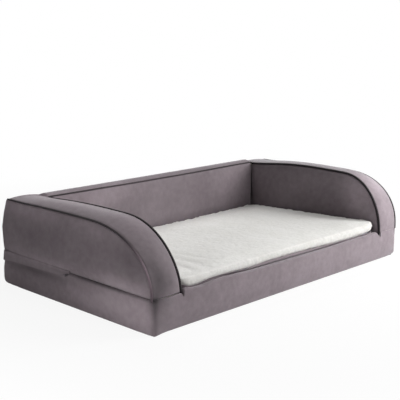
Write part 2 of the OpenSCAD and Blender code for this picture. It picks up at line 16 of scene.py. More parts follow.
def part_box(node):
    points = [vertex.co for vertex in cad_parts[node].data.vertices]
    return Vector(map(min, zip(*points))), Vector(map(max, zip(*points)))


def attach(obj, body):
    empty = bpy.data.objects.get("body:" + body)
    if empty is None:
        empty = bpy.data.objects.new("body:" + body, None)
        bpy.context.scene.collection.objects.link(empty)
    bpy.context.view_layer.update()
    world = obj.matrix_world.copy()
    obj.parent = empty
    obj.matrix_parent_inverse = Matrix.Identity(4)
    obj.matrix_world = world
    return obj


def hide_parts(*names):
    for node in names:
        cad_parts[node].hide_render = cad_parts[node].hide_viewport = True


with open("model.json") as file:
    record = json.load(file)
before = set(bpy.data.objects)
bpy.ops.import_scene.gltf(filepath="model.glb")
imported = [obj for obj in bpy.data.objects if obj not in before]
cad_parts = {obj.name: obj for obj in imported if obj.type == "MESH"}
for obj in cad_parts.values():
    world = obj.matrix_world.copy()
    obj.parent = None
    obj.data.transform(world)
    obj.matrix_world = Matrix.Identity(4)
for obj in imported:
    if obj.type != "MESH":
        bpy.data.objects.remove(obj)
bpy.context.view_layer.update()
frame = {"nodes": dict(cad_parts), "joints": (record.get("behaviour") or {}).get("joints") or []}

# Sizes from the frame
MM = 0.001


def high(node):
    """Highest corner of a CAD node's box."""
    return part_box(node)[1]


def low(node):
    """Lowest corner of a CAD node's box."""
    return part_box(node)[0]


ZIP_RUN = next(j["range_m"][1] for j in frame["joints"] if j["name"] == "zip_slide")
HALF_L = high("front_border").x
HALF_D = high("left_border").y
PANEL_T = HALF_L - high("base_slab_foam").x
TOP_H = high("left_arm_foam").z + PANEL_T
SEAM_H = high("front_border").z
INNER_X = high("back_inner_panel").x
BACK_Y = low("back_foam").y - PANEL_T
ARM_W = HALF_L - INNER_X
DECK_H = high("deck_panel").z
LIP_Y = low("deck_panel").y
ZIP_LOW_H = high("back_border").z
ZIP_HIGH_H = low("back_outer_panel").z
ZIP_FRONT_Y = low("zip_flap").y
ZIP_REAR_Y = high("zip_pull").y + ZIP_RUN
FLAP_X = high("zip_flap").x
MATTRESS_HX = high("mattress_underside").x
MATTRESS_FRONT_Y = low("mattress_underside").y
MATTRESS_REAR_Y = high("mattress_underside").y
MATTRESS_Y = (MATTRESS_FRONT_Y + MATTRESS_REAR_Y) / 2
MATTRESS_HY = (MATTRESS_REAR_Y - MATTRESS_FRONT_Y) / 2
BORDER_LOW_H = low("mattress_border").z
SHERPA_REAR_H = low("mattress_sherpa_top").z
SHERPA_FRONT_H = high("mattress_comfort_foam").z

# Sizes of the cover
# The four arm seams, by side and edge, as the arms are stuffed a little differently: straight top
# from the rear seam, rise over the sofa's height, foot behind the front plane, drop at the rear, and
# how round the front is, where 1 is a quarter of an ellipse
ARM_SEAMS = {
    (-1, "inner"): (0.373, 11 * MM, 6.5 * MM, 15 * MM, 1.26),
    (-1, "outer"): (0.348, 6 * MM, 4.7 * MM, 7 * MM, 1.0),
    (1, "inner"): (0.4275, 22 * MM, 2.7 * MM, 25.5 * MM, 1.09),
    (1, "outer"): (0.389, 10.5 * MM, 5.5 * MM, 18.5 * MM, 0.89),
}
# How far from the rear a seam's drop fades, and the length by which the seams' points are spaced
SEAM_DROP_W = 0.16
SEAM_PLACES_L = 0.66
# Points along the top, round the front and along the evened seam, and how many of them soften its bend
SEAM_TOP_POINTS = 140
SEAM_EVEN_POINTS = 600
SEAM_SOFTEN = 40
# How far each arm leans over the sleeping space at its rear top, and where the lean starts and grows
ARM_LEAN = {-1: 2 * MM, 1: 18 * MM}
LEAN_FRONT_Y = -0.05
LEAN_RUN = 0.3
LEAN_LOW_H = 0.1
LEAN_RISE = 0.15
LEAN_LOW_SHARE = 0.4
# Height of each panel's crown, and how far from its seams it is reached
OUTER_CROWN = 11 * MM
INNER_CROWN = {-1: 6 * MM, 1: 13 * MM}
BAND_CROWN = {-1: 7.5 * MM, 1: 6.5 * MM}
FRONT_CROWN = 6.5 * MM
SIDE_CROWN = 3.5 * MM
BACK_CROWN = 6.5 * MM
BACK_BAND_CROWN = 4 * MM
CROWN_RUN = 70 * MM
OUTER_FOOT_RUN = 0.05
BACK_RUN = 0.06
BACK_INNER_RUN = 0.05
INNER_REAR_RUN = 0.045
INNER_FOOT_RUN = 0.09
# How steeply an arm's inner side swells over the deck
INNER_FOOT_POWER = {-1: 0.7, 1: 1.2}
# Shares of the arm band's crown that are left at its front and rear ends, and how far they reach
BAND_FRONT_SHARE = 0.6
BAND_FRONT_RUN = 0.11
BAND_REAR_SHARE = 0.45
BAND_REAR_RUN = 0.16
# Share of its tuck that the arm band loses where it lies beside the back
BAND_BESIDE_BACK = 0.95
# How far the band's front end is turned in, and how far its rear end bulges over what length
BAND_FRONT_TUCK = {-1: 1.5 * MM, 1: 0}
BAND_REAR_BULGE = 1.5 * MM
BAND_BULGE_RUN = 0.03
# Height over which the band's foot follows the front seam
BAND_FOOT_RUN = 0.02
# Soft folds that fan out round an arm's inner front: centre in Y and Z, depth, folds in a full turn
# round that centre and how far they reach from the seam
FAN_Y = -0.02
FAN_H = 0.1
FAN_FOLD = 0.9 * MM
FAN_FOLDS = 21
FAN_REACH = 0.1
# Height of the seam along the back's top: its drop at the left, its rise to the right, the sag of its
# piping and how far it bends to meet the arms
BACK_LOW = 1 * MM
BACK_TILT = 4 * MM
BACK_SAG = 2.8 * MM
BACK_MEET = 14 * MM
# Depth and reach of the back's inner side where it turns in beside an arm
BACK_END_DEPTH = 9 * MM
BACK_END_W = 16 * MM
# Radius of the cord in each piped seam, at its rear and at its front; how far its middle lies in from
# the seam; how far the cloth stops short of the seam, and how deep the cloth's edge is turned in there
CORD_R = {"outer": (2.3 * MM, 3.0 * MM), "inner": (2.8 * MM, 4.2 * MM), "back": (2.3 * MM, 2.3 * MM)}
CORD_IN = 1.3 * MM
CORD_INSET = {"outer": 3.1 * MM, "inner": 4.3 * MM, "back": 3.4 * MM}
CORD_DEPTH = 3.0 * MM
# How far a cord's end runs on past its seam, and how far it dives under the cloth
CORD_PAST = 1 * MM
CORD_DIVE = 4 * MM
# How wide the rounded edge of a panel is
EDGE_W = 6 * MM
# Depth and half width of a plain seam between two panels
SEAM_DEPTH = 5.7 * MM
SEAM_W = 10 * MM
# Radius along the base's foot
FLOOR_R = 4 * MM
# The front seam dips to a notch where an inner piping ends: its depth, and the reach of its slopes
# toward the arm and toward the middle
NOTCH_DEPTH = {-1: 10 * MM, 1: 14 * MM}
NOTCH_OUT_W = 5 * MM
NOTCH_IN_W = {-1: 9 * MM, 1: 28 * MM}
# Height of the lip's top, and of the lower edge of the sherpa behind it, along the front
LIP_LINE = ([-0.488, -0.467, -0.444, -0.408, -0.363, -0.322, -0.272, -0.2,
             -0.143, -0.079, 0.042, 0.237, 0.362, 0.409, 0.447, 0.488],
            [0.1015, 0.1015, 0.097, 0.095, 0.1005, 0.101, 0.099, 0.095,
             0.092, 0.0905, 0.0898, 0.0935, 0.0952, 0.0942, 0.097, 0.0995])
HEM_LINE = ([-0.47, -0.448, -0.424, -0.408, -0.363, -0.3, -0.25, -0.2, -0.16,
             -0.1, -0.04, 0.05, 0.145, 0.25, 0.32, 0.39, 0.47],
            [0.1015, 0.0955, 0.0925, 0.0935, 0.099, 0.0995, 0.0975, 0.0953, 0.0965,
             0.0987, 0.099, 0.098, 0.0955, 0.0935, 0.0915, 0.0922, 0.0943])
# Sag of the seam under the lip along the front
SEAM_SAG = ([-0.3, -0.1, 0.05, 0.25, 0.36, 0.41, 0.45, 0.488],
            [0, 1 * MM, 2.2 * MM, 3 * MM, 3 * MM, 3.6 * MM, 1.5 * MM, 0])
# Rise of the swollen rear corners of the arms and of the base over their planes, by height
ARM_CORNER = ([0.102, 0.12, 0.17, 0.21, 0.252], [6 * MM, 8 * MM, 11 * MM, 8 * MM, 2.5 * MM])
BASE_CORNER = ([0, 0.02, 0.05, 0.086], [4 * MM, 8 * MM, 9.5 * MM, 8 * MM])
# Radius at the foot of each of the base's corners, by its side in X and in Y
FOOT_R = {(-1, -1): 2.5 * MM, (1, -1): 12 * MM, (-1, 1): 12 * MM, (1, 1): 12 * MM}
# Depth, half width and share of the depth that is left at the floor of the base's corner seams
CORNER_SEAM = 12 * MM
CORNER_SEAM_W = 13 * MM
CORNER_SEAM_LOW_SHARE = 0.3
# How far along a face the rounding at the floor fades in from its ends
FLOOR_RUN = 0.03
# Height from which a side border stays flat beside the zip's pull
PULL_FLAT_H = 0.05
# Reach along a face of its swollen end corners: the arms' and the back's, and the base's
CORNER_RUN = 0.07
BASE_CORNER_RUN = 0.06
# How far the base's front corners stand out in X and in Y: at the seam, and added at the floor
FRONT_CORNER = {
    -1: ((0, -3 * MM), (-4 * MM, 9.5 * MM)),
    1: ((0, -2 * MM), (-1 * MM, 1 * MM)),
}
# How far the front swells out at its seam, under the lip
LIP_SWELL = 1.5 * MM
# Rise of the lip over that seam: the least anywhere, the most at the bottom of a notch, and how much
# more it may gain up the notch's slope; and the lip's wall
LIP_LEAST = 1.2 * MM
LIP_START = 1.5 * MM
LIP_NOTCH_RISE = 12 * MM
LIP_WALL = 2.4 * MM
# Size and height of the velvet's broad and small hollows, and how far from a seam they are full
HOLLOWS = ((0.11, 0.7 * MM), (0.045, 0.35 * MM))
HOLLOW_CLEAR = 0.03
# Size, height and reach of the puckers beside a seam, and how far from it they are full
PUCKER_SIZE = 0.011
PUCKER_H = 0.35 * MM
PUCKER_REACH = 0.014
PUCKER_CLEAR = 0.004
# Wall of the padded cloth, and the spacing of its points
WALL = 3 * MM
STEP = 6 * MM
# Spacing of the deck cloth's points, and how far it sags
LEVEL_STEP = 16 * MM
DECK_SAG = 1 * MM
# Corner radius and thickness of the bottom cloth
UNDERSIDE_CORNER_R = 12 * MM
UNDERSIDE_T = 2.6 * MM
# Corners in plan, anticlockwise from the rear right one
QUARTERS = ((1, 1), (-1, 1), (-1, -1), (1, -1))
# Distances from a seam at which a panel is sampled before it goes on in equal steps
EDGE_STEPS = np.array([0, 0.4, 1.1, 2.1, 3.4, 5.0, 7.2, 10.0]) * MM

# Soft patches of painted light and shade on the velvet: lighter where light falls on it, darker in its seams,
# grooves and corners where shade falls. Each has a centre, reach along X, Y and Z, and share of its colour
# added or taken away
VELVET_PAINTED_LIGHT = [
    ((-0.60, -0.24, 0.045), (0.014, 0.13, 0.07), 1.0),
    ((-0.60, -0.05, 0.045), (0.03, 0.11, 0.04), 0.5),
    ((-0.60, 0.20, 0.235), (0.03, 0.12, 0.03), 0.5),
    ((-0.60, 0.10, 0.175), (0.03, 0.12, 0.04), -0.15),
    ((-0.60, -0.21, 0.175), (0.03, 0.06, 0.05), -0.25),
    ((-0.60, -0.08, 0.225), (0.03, 0.08, 0.03), 0.2),
    ((-0.60, -0.17, 0.115), (0.03, 0.11, 0.02), 0.4),
    ((-0.60, 0.12, 0.102), (0.03, 0.16, 0.02), 0.3),
    ((-0.596, 0.16, 0.068), (0.012, 0.14, 0.011), -0.5),
    ((-0.60, -0.13, 0.0925), (0.03, 0.17, 0.0055), -0.95),
    ((-0.592, -0.282, 0.08), (0.014, 0.014, 0.04), -0.9),
    ((-0.592, -0.290, 0.03), (0.009, 0.009, 0.045), -0.8),
    ((-0.57, -0.285, 0.14), (0.028, 0.04, 0.08), -0.55),
    ((-0.495, -0.28, 0.13), (0.010, 0.04, 0.07), 0.2),
    ((-0.53, -0.29, 0.13), (0.02, 0.03, 0.03), -0.25),
    ((-0.52, 0.12, 0.255), (0.07, 0.2, 0.035), 1.0),
    ((-0.54, -0.12, 0.25), (0.06, 0.08, 0.04), 0.15),
    ((-0.25, 0.25, 0.22), (0.16, 0.03, 0.03), 0.3),
    ((-0.38, 0.25, 0.18), (0.14, 0.03, 0.07), 0.45),
    ((0.35, 0.25, 0.19), (0.1, 0.03, 0.06), 0.2),
    ((-0.30, 0.27, 0.252), (0.25, 0.03, 0.02), 0.35),
    ((0.0, -0.295, 0.05), (0.8, 0.03, 0.08), 0.3),
    ((0.0, -0.274, 0.10), (0.45, 0.004, 0.012), 0.2),
    ((0.48, -0.20, 0.19), (0.03, 0.05, 0.07), 0.3),
    ((0.54, -0.28, 0.16), (0.05, 0.03, 0.09), 0.35),
    ((0.55, -0.19, 0.22), (0.07, 0.06, 0.05), 0.8),
    ((0.478, 0.247, 0.17), (0.007, 0.009, 0.09), -0.8),
    ((0.54, 0.25, 0.25), (0.07, 0.05, 0.03), -0.25),
    ((0.54, 0.08, 0.265), (0.08, 0.17, 0.03), -0.3),
]
# The most of its colour that painted shade may take away
PAINTED_SHADE_LIMIT = -0.85
# Painted highlights on the cords, and painted light and shade on the sherpa's pile, in the same form
CORD_PAINTED_HIGHLIGHTS = [
    ((-0.60, -0.255, 0.155), (0.02, 0.06, 0.075), 12.0),
    ((-0.15, 0.245, 0.252), (0.28, 0.03, 0.02), 1.6),
]
PILE_PAINTED_LIGHT = [
    ((0.2, 0.14, 0.13), (0.35, 0.14, 0.1), 0.16),
    ((-0.25, 0.05, 0.13), (0.2, 0.2, 0.1), 0.11),
    ((0.38, -0.2, 0.13), (0.14, 0.12, 0.1), -0.12),
]

# Colours of the finishes
VELVET_DARK = (0.158, 0.129, 0.143)
VELVET_LIGHT = (0.234, 0.198, 0.215)
VELVET_SHEEN = (0.92, 0.9, 0.93, 1)
PIPING_BLACK = (0.0155, 0.0115, 0.0135)
SHERPA_NUB = (0.83, 0.822, 0.797)
# Painted shade in the pile's hollows
SHERPA_HOLLOW_SHADE = (0.755, 0.747, 0.722)
# Painted shade of the pile where it faces sideways and where it faces down
SHERPA_SIDE_SHADE = (0.88, 0.875, 0.87)
SHERPA_UNDER_SHADE = (0.97, 0.965, 0.96)
LINING_BLACK = (0.08, 0.075, 0.08)
FOAM_CREAM = (0.8, 0.74, 0.58)
SOFT_FOAM_BLUE = (0.5, 0.62, 0.7)
ZIP_TAPE_BLACK = (0.045, 0.04, 0.042)
ZIP_NYLON = (0.04, 0.037, 0.04)
ZIP_PAINT = (0.05, 0.048, 0.05)
ZIP_WORN = (0.12, 0.115, 0.12)
WHITE = (1.0, 1.0, 1.0)

# Number helpers


def smooth(x):
    """Eases from 0 to 1."""
    x = np.clip(x, 0, 1)
    return x * x * (3 - 2 * x)


def swell(distance, run, power=0.75):
    """Rise of a padded surface at a distance from its seam, 0 at the seam and 1 past the run."""
    return np.sin(np.pi / 2 * np.clip(distance / run, 0, 1)) ** power


def arch(share, power=0.75):
    """Rise across a strip with a seam on both sides."""
    return np.sin(np.pi * np.clip(share, 0, 1)) ** power


def tuck(distance, width=EDGE_W):
    """How far an edge is turned in: 1 at the seam and 0 past its width."""
    q = np.clip(1 - distance / width, 0, 1)
    return 1 - np.sqrt(1 - q * q)


def spaced(length, step=STEP, ends=(True, True)):
    """Places along a length, closer together near the ends that are seams."""
    near = EDGE_STEPS if ends[0] else EDGE_STEPS[:1]
    far = length - (EDGE_STEPS if ends[1] else EDGE_STEPS[:1])[::-1]
    count = max(2, round((far[0] - near[-1]) / step) + 1)
    return np.concatenate([near[:-1], np.linspace(near[-1], far[0], count), far[1:]])


def soft_noise(points, size, seed):
    """Smooth noise from -1 to 1 with bumps of about that size, or of three sizes along X, Y and Z."""
    lattice = np.random.default_rng(seed).uniform(-1, 1, (32, 32, 32))
    place = points / np.asarray(size)
    cell = np.floor(place).astype(int)
    part = smooth(place - cell)
    total = np.zeros(points.shape[:-1])
    for corner in itertools.product((0, 1), repeat=3):
        weight = np.prod(np.where(np.array(corner) == 1, part, 1 - part), axis=-1)
        at = (cell + np.array(corner)) % 32
        total += weight * lattice[at[..., 0], at[..., 1], at[..., 2]]
    return total


def along(line):
    """Distance along a line of points."""
    return np.concatenate([[0], np.cumsum(np.linalg.norm(np.diff(line, axis=0), axis=1))])


def distance_to(line, points):
    """Distance of each point from a line of points, in the plane."""
    a, b = line[:-1], line[1:]
    ab = b - a
    flat = points.reshape(-1, 2)
    best = np.full(len(flat), np.inf)
    for start, step in zip(a, ab):
        t = np.clip((flat - start) @ step / (step @ step), 0, 1)
        best = np.minimum(best, np.linalg.norm(flat - start - t[:, None] * step, axis=1))
    return best.reshape(points.shape[:-1])


def wrinkles(points, distance, seed, amount=1.0):
    """Soft hollows all over a panel, and short puckers that die out away from its seams."""
    hollows = sum(height * soft_noise(points, size, seed + k) for k, (size, height) in enumerate(HOLLOWS))
    pucker = PUCKER_H * soft_noise(points, PUCKER_SIZE, seed + 2) * np.exp(-distance / PUCKER_REACH)
    return amount * (hollows * smooth(distance / HOLLOW_CLEAR) + pucker * smooth(distance / PUCKER_CLEAR))


# Mesh helpers


def grid_faces(rows, columns, start=0):
    """Faces over a grid of points whose first one has that number."""
    i, j = np.meshgrid(np.arange(rows - 1), np.arange(columns - 1), indexing="ij")
    a = start + i * columns + j
    return np.stack([a, a + columns, a + columns + 1, a + 1], -1).reshape(-1, 4).tolist()


def make_piece(name, points, faces, uvs):
    """Mesh object from points, faces and one cloth coordinate for each point."""
    mesh = bpy.data.meshes.new(name)
    mesh.from_pydata(points.tolist(), [], faces)
    layer = mesh.uv_layers.new(name="cloth")
    corner = np.empty(len(mesh.loops), int)
    mesh.loops.foreach_get("vertex_index", corner)
    layer.data.foreach_set("uv", uvs[corner].astype(np.float32).ravel())
    piece = bpy.data.objects.new(name, mesh)
    bpy.context.scene.collection.objects.link(piece)
    return piece


def weld(piece, outward=None):
    """Joins points that coincide, and turns an open sheet so that it faces outward."""
    work = bmesh.new()
    work.from_mesh(piece.data)
    bmesh.ops.remove_doubles(work, verts=work.verts, dist=0.02 * MM)
    bmesh.ops.dissolve_degenerate(work, edges=work.edges, dist=0.01 * MM)
    if outward is not None:
        facing = sum((f.normal * f.calc_area() for f in work.faces), Vector())
        if facing.dot(Vector(outward)) < 0:
            bmesh.ops.reverse_faces(work, faces=work.faces)
    else:
        bmesh.ops.recalc_face_normals(work, faces=work.faces)
    work.to_mesh(piece.data)
    work.free()


def settle(piece):
    """Applies a piece's modifiers to its mesh."""
    plain = bpy.data.meshes.new_from_object(
        piece.evaluated_get(bpy.context.evaluated_depsgraph_get()))
    piece.modifiers.clear()
    piece.data = plain


def finish_surface(piece, material, sharp=50):
    """Gives a piece its material and smooth shading, with edges past an angle left sharp."""
    piece.data.materials.clear()
    piece.data.materials.append(material)
    piece.data.shade_smooth()
    piece.data.set_sharp_from_angle(angle=math.radians(sharp))


def vertex_values(piece, name):
    """Places or normals of a piece's points."""
    values = np.empty(len(piece.data.vertices) * 3, np.float32)
    piece.data.vertices.foreach_get(name, values)
    return values.reshape(-1, 3)


def paint_light_and_shade(piece, patches):
    """Paints light and shade on a piece: notes how much lighter or darker its colour is made at each point.
    """
    points = vertex_values(piece, "co")
    amount = np.zeros(len(points))
    for centre, reach, change in patches:
        amount += change * np.exp(-(((points - np.array(centre)) / np.array(reach)) ** 2).sum(-1))
    # The nap attribute carries this painted light and shade
    nap = piece.data.attributes.new("nap", "FLOAT", "POINT")
    nap.data.foreach_set("value", np.maximum(amount, PAINTED_SHADE_LIMIT).astype(np.float32))


def cloth_panel(name, grids, outward, material, wall=WALL):
    """Closed piece of padded cloth from one or more grids of points that share their edges."""
    points, faces, uvs, start = [], [], [], 0
    for grid in grids:
        rows, columns = grid.shape[:2]
        across = along(grid[rows // 2])
        down = along(grid[:, columns // 2])
        points.append(grid.reshape(-1, 3))
        faces += grid_faces(rows, columns, start)
        uvs.append(np.stack(np.meshgrid(down, across, indexing="ij"), -1).reshape(-1, 2))
        start += rows * columns
    piece = make_piece(name, np.concatenate(points), faces, np.concatenate(uvs))
    weld(piece, outward)
    thick = piece.modifiers.new("wadding", "SOLIDIFY")
    thick.thickness = wall
    thick.offset = -1
    settle(piece)
    # Painted light and shade on the panel
    paint_light_and_shade(piece, VELVET_PAINTED_LIGHT)
    finish_surface(piece, material)
    return piece


def tube(name, line, radius, material, sides=14):
    """Closed round cord along a line of points."""
    tangent = np.gradient(line, axis=0)
    tangent /= np.linalg.norm(tangent, axis=1)[:, None]
    side = np.cross(tangent, np.array([1.0, 0, 0]))
    if np.abs(tangent[:, 0]).max() > 0.9:
        side = np.cross(tangent, np.array([0, 0, 1.0]))
    side /= np.linalg.norm(side, axis=1)[:, None]
    other = np.cross(tangent, side)
    turn = np.linspace(0, 2 * np.pi, sides + 1)[:-1]
    ring = np.cos(turn)[None, :, None] * side[:, None] + np.sin(turn)[None, :, None] * other[:, None]
    ring *= np.linspace(*radius, len(line))[:, None, None]
    points = (line[:, None] + ring).reshape(-1, 3)
    faces = []
    for i in range(len(line) - 1):
        for k in range(sides):
            a, b = i * sides + k, i * sides + (k + 1) % sides
            faces.append([a, b, b + sides, a + sides])
    faces.append(list(range(sides))[::-1])
    faces.append([(len(line) - 1) * sides + k for k in range(sides)])
    uvs = np.stack([np.repeat(along(line), sides), np.tile(turn * radius[0], len(line))], -1)
    piece = make_piece(name, points, faces, uvs)
    weld(piece)
    # Painted highlights on the cord
    paint_light_and_shade(piece, CORD_PAINTED_HIGHLIGHTS)
    finish_surface(piece, material, sharp=70)
    return piece


def block(name, rows, node):
    """Foam block through rows of four corner points each."""
    n = len(rows)
    faces = [[0, 1, 2, 3], [4 * n - 1, 4 * n - 2, 4 * n - 3, 4 * n - 4]]
    for i in range(n - 1):
        for k in range(4):
            a, b = i * 4 + k, i * 4 + (k + 1) % 4
            faces.append([a, a + 4, b + 4, b])
    flat = rows.reshape(-1, 3)
    piece = make_piece(name, flat, faces, flat[:, 1:])
    weld(piece)
    finish_surface(piece, FOAM, 30)
    return dress(piece, [node])


def dress(piece, nodes, body="sofa"):
    """Puts a finished piece in the place of its CAD nodes."""
    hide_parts(*nodes)
    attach(piece, body)
    return piece


# Materials


def new_material(name):
    """New material, with its node tree and its shader."""
    material = bpy.data.materials.new(name)
    material.use_nodes = True
    tree = material.node_tree
    return material, tree, tree.nodes["Principled BSDF"]


def add(tree, kind, **values):
    """Adds a node. Values name its properties or its input sockets."""
    node = tree.nodes.new("ShaderNode" + kind)
    for key, value in values.items():
        if hasattr(node, key):
            setattr(node, key, value)
    for key, value in values.items():
        if not hasattr(node, key):
            node.inputs[key.replace("_", " ")].default_value = value
    return node


def ramp(tree, value, stops):
    """Colour ramp over a value, with a colour at each of its stops."""
    node = add(tree, "ValToRGB")
    elements = node.color_ramp.elements
    while len(elements) < len(stops):
        elements.new(0.5)
    for element, (position, colour) in zip(elements, stops):
        element.position = position
        element.color = (*colour, 1)
    tree.links.new(value, node.inputs["Fac"])
    return node.outputs["Color"]


def maths(tree, operation, a, b):
    """One sum on two values, each a number or a socket."""
    node = add(tree, "Math", operation=operation)
    for socket, value in zip(node.inputs, (a, b)):
        if isinstance(value, (int, float)):
            socket.default_value = value
        else:
            tree.links.new(value, socket)
    return node.outputs["Value"]


def multiplied(tree, share, a, b):
    """Multiplies one colour by another, to a share of the full effect."""
    node = add(tree, "Mix", data_type="RGBA", blend_type="MULTIPLY")
    node.inputs[0].default_value = share
    tree.links.new(a, node.inputs[6])
    tree.links.new(b, node.inputs[7])
    return node.outputs[2]


def bump(tree, shader, height, distance, strength):
    """Gives a shader the relief of a height, at that many metres for a height of 1."""
    node = add(tree, "Bump", Strength=strength, Distance=distance)
    tree.links.new(height, node.inputs["Height"])
    tree.links.new(node.outputs["Normal"], shader.inputs["Normal"])


def place_of(tree):
    """Place of each point in its piece."""
    return add(tree, "TexCoord").outputs["Object"]


def shader_group(name, inputs, output, kind):
    """New node group with named inputs and one output, and the sockets at both of its ends."""
    group = bpy.data.node_groups.new(name, "ShaderNodeTree")
    for socket, form in inputs.items():
        group.interface.new_socket(socket, in_out="INPUT", socket_type="NodeSocket" + form)
    group.interface.new_socket(output, in_out="OUTPUT", socket_type="NodeSocket" + kind)
    return group, group.nodes.new("NodeGroupInput").outputs, group.nodes.new("NodeGroupOutput").inputs


def grain_group():
    """Uneven grain of cloth, foam or paint, whose scale says how fine it is."""
    inputs = {"Place": "Vector", "Scale": "Float", "Detail": "Float", "Roughness": "Float"}
    group, given, made = shader_group("surface_grain", inputs, "Grain", "Float")
    marks = add(group, "TexNoise")
    group.links.new(given["Place"], marks.inputs["Vector"])
    for name in ("Scale", "Detail", "Roughness"):
        group.links.new(given[name], marks.inputs[name])
    group.links.new(marks.outputs["Fac"], made["Grain"])
    return group


def painted_light_group():
    """Colour of cloth with painted light and shade, made lighter or darker by a share of it."""
    group, given, made = shader_group("painted_light_and_shade", {"Cloth": "Color", "PaintedLight": "Float"}, "PaintedLit", "Color")
    share = maths(group, "ADD", given["PaintedLight"], 1.0)
    group.links.new(multiplied(group, 1.0, given["Cloth"], share), made["PaintedLit"])
    return group


SURFACE_GRAIN = grain_group()
PAINTED_LIGHT_GROUP = painted_light_group()


def grain(tree, place, scale, detail=2.0, roughness=0.5):
    """Places the surface grain in a material, with values of its own."""
    node = add(tree, "Group", node_tree=SURFACE_GRAIN, Scale=scale, Detail=detail, Roughness=roughness)
    tree.links.new(place, node.inputs["Place"])
    return node.outputs["Grain"]


def with_painted_light(tree, cloth):
    """Places the painted light and shade in a material, from the nap attribute that the piece's points carry.
    """
    node = add(tree, "Group", node_tree=PAINTED_LIGHT_GROUP)
    tree.links.new(cloth, node.inputs["Cloth"])
    # The nap attribute holds painted light and shade
    tree.links.new(add(tree, "Attribute", attribute_name="nap").outputs["Fac"], node.inputs["PaintedLight"])
    return node.outputs["PaintedLit"]


def velvet_material():
    """Short-pile velvet: broad patches where the nap lies another way, and a fine pile."""
    material, tree, shader = new_material("velvet_taupe")
    place = place_of(tree)
    nap = grain(tree, place, 7, 3, 0.55)
    pile = grain(tree, place, 1100, 2)
    drift = grain(tree, place, 60, 3)
    tone = maths(tree, "ADD", maths(tree, "MULTIPLY", nap, 0.6), maths(tree, "MULTIPLY", drift, 0.4))
    cloth = ramp(tree, tone, [(0.3, VELVET_DARK), (0.7, VELVET_LIGHT)])
    shade = ramp(tree, pile, [(0.3, (0.86, 0.86, 0.86)), (0.7, WHITE)])
    cloth = multiplied(tree, 0.8, cloth, shade)
    # Painted light and shade on the velvet's colour
    tree.links.new(with_painted_light(tree, cloth), shader.inputs["Base Color"])
    shader.inputs["Roughness"].default_value = 0.82
    shader.inputs["Specular IOR Level"].default_value = 0.25
    shader.inputs["Sheen Weight"].default_value = 0.55
    shader.inputs["Sheen Roughness"].default_value = 0.32
    shader.inputs["Sheen Tint"].default_value = VELVET_SHEEN
    bump(tree, shader, maths(tree, "ADD", pile, maths(tree, "MULTIPLY", drift, 1.5)), 0.25 * MM, 0.6)
    return material


def sherpa_material():
    """Off-white sherpa: small nubs of curled pile with painted shade in the hollows between them, and on the
    pile where it faces sideways or down.
    """
    material, tree, shader = new_material("sherpa_pile")
    place = place_of(tree)
    nub = add(tree, "TexVoronoi", feature="SMOOTH_F1", Scale=165, Smoothness=0.6)
    warp = add(tree, "VectorMath", operation="ADD")
    spread = add(tree, "TexNoise", Scale=70, Detail=2)
    tree.links.new(place, spread.inputs["Vector"])
    shrink = add(tree, "VectorMath", operation="SCALE")
    shrink.inputs["Scale"].default_value = 8 * MM
    tree.links.new(spread.outputs["Color"], shrink.inputs[0])
    tree.links.new(place, warp.inputs[0])
    tree.links.new(shrink.outputs[0], warp.inputs[1])
    tree.links.new(warp.outputs[0], nub.inputs["Vector"])
    fibre = grain(tree, place, 900, 3)
    # Painted shade in the hollows between the nubs
    hollow = ramp(tree, nub.outputs["Distance"], [(0.15, SHERPA_NUB), (0.8, SHERPA_HOLLOW_SHADE)])
    patch = ramp(tree, grain(tree, place, 12, 3), [(0.35, (0.95, 0.95, 0.94)), (0.65, WHITE)])
    # Painted shade: the pile's colour darkens where it faces sideways or down
    facing = add(tree, "SeparateXYZ")
    tree.links.new(add(tree, "NewGeometry").outputs["Normal"], facing.inputs[0])
    depth = ramp(tree, facing.outputs["Z"], [
        (0.0, SHERPA_UNDER_SHADE), (0.35, SHERPA_SIDE_SHADE), (0.6, SHERPA_SIDE_SHADE), (0.9, WHITE)])
    shaded = with_painted_light(tree, multiplied(tree, 1.0, hollow, patch))
    tree.links.new(multiplied(tree, 1.0, shaded, depth), shader.inputs["Base Color"])
    shader.inputs["Roughness"].default_value = 0.95
    shader.inputs["Specular IOR Level"].default_value = 0.1
    shader.inputs["Sheen Weight"].default_value = 0.25
    height = maths(tree, "SUBTRACT", maths(tree, "MULTIPLY", fibre, 0.35), nub.outputs["Distance"])
    bump(tree, shader, height, 1.0 * MM, 0.35)
    return material


def plain_cloth(name, colour, scale, depth, roughness=0.9, takes_painted_light=False):
    """Matte cloth, foam or nylon with a grain of its own, and with painted light and shade where it takes it.
    """
    material, tree, shader = new_material(name)
    weave = grain(tree, place_of(tree), scale, 3)
    dark, light = (tuple(share * c for c in colour) for share in (0.75, 1.15))
    shade = ramp(tree, weave, [(0.3, dark), (0.7, light)])
    tree.links.new(with_painted_light(tree, shade) if takes_painted_light else shade, shader.inputs["Base Color"])
    shader.inputs["Roughness"].default_value = roughness
    shader.inputs["Specular IOR Level"].default_value = 0.2
    bump(tree, shader, weave, depth, 0.5)
    return material


def metal_material():
    """Dark painted metal, worn a little lighter in places."""
    material, tree, shader = new_material("zip_metal_painted")
    wear = grain(tree, place_of(tree), 900, 3)
    colour = ramp(tree, wear, [(0.45, ZIP_PAINT), (0.75, ZIP_WORN)])
    tree.links.new(colour, shader.inputs["Base Color"])
    shader.inputs["Metallic"].default_value = 0.7
    shader.inputs["Roughness"].default_value = 0.38
    bump(tree, shader, wear, 0.05 * MM, 0.3)
    return material


VELVET = velvet_material()
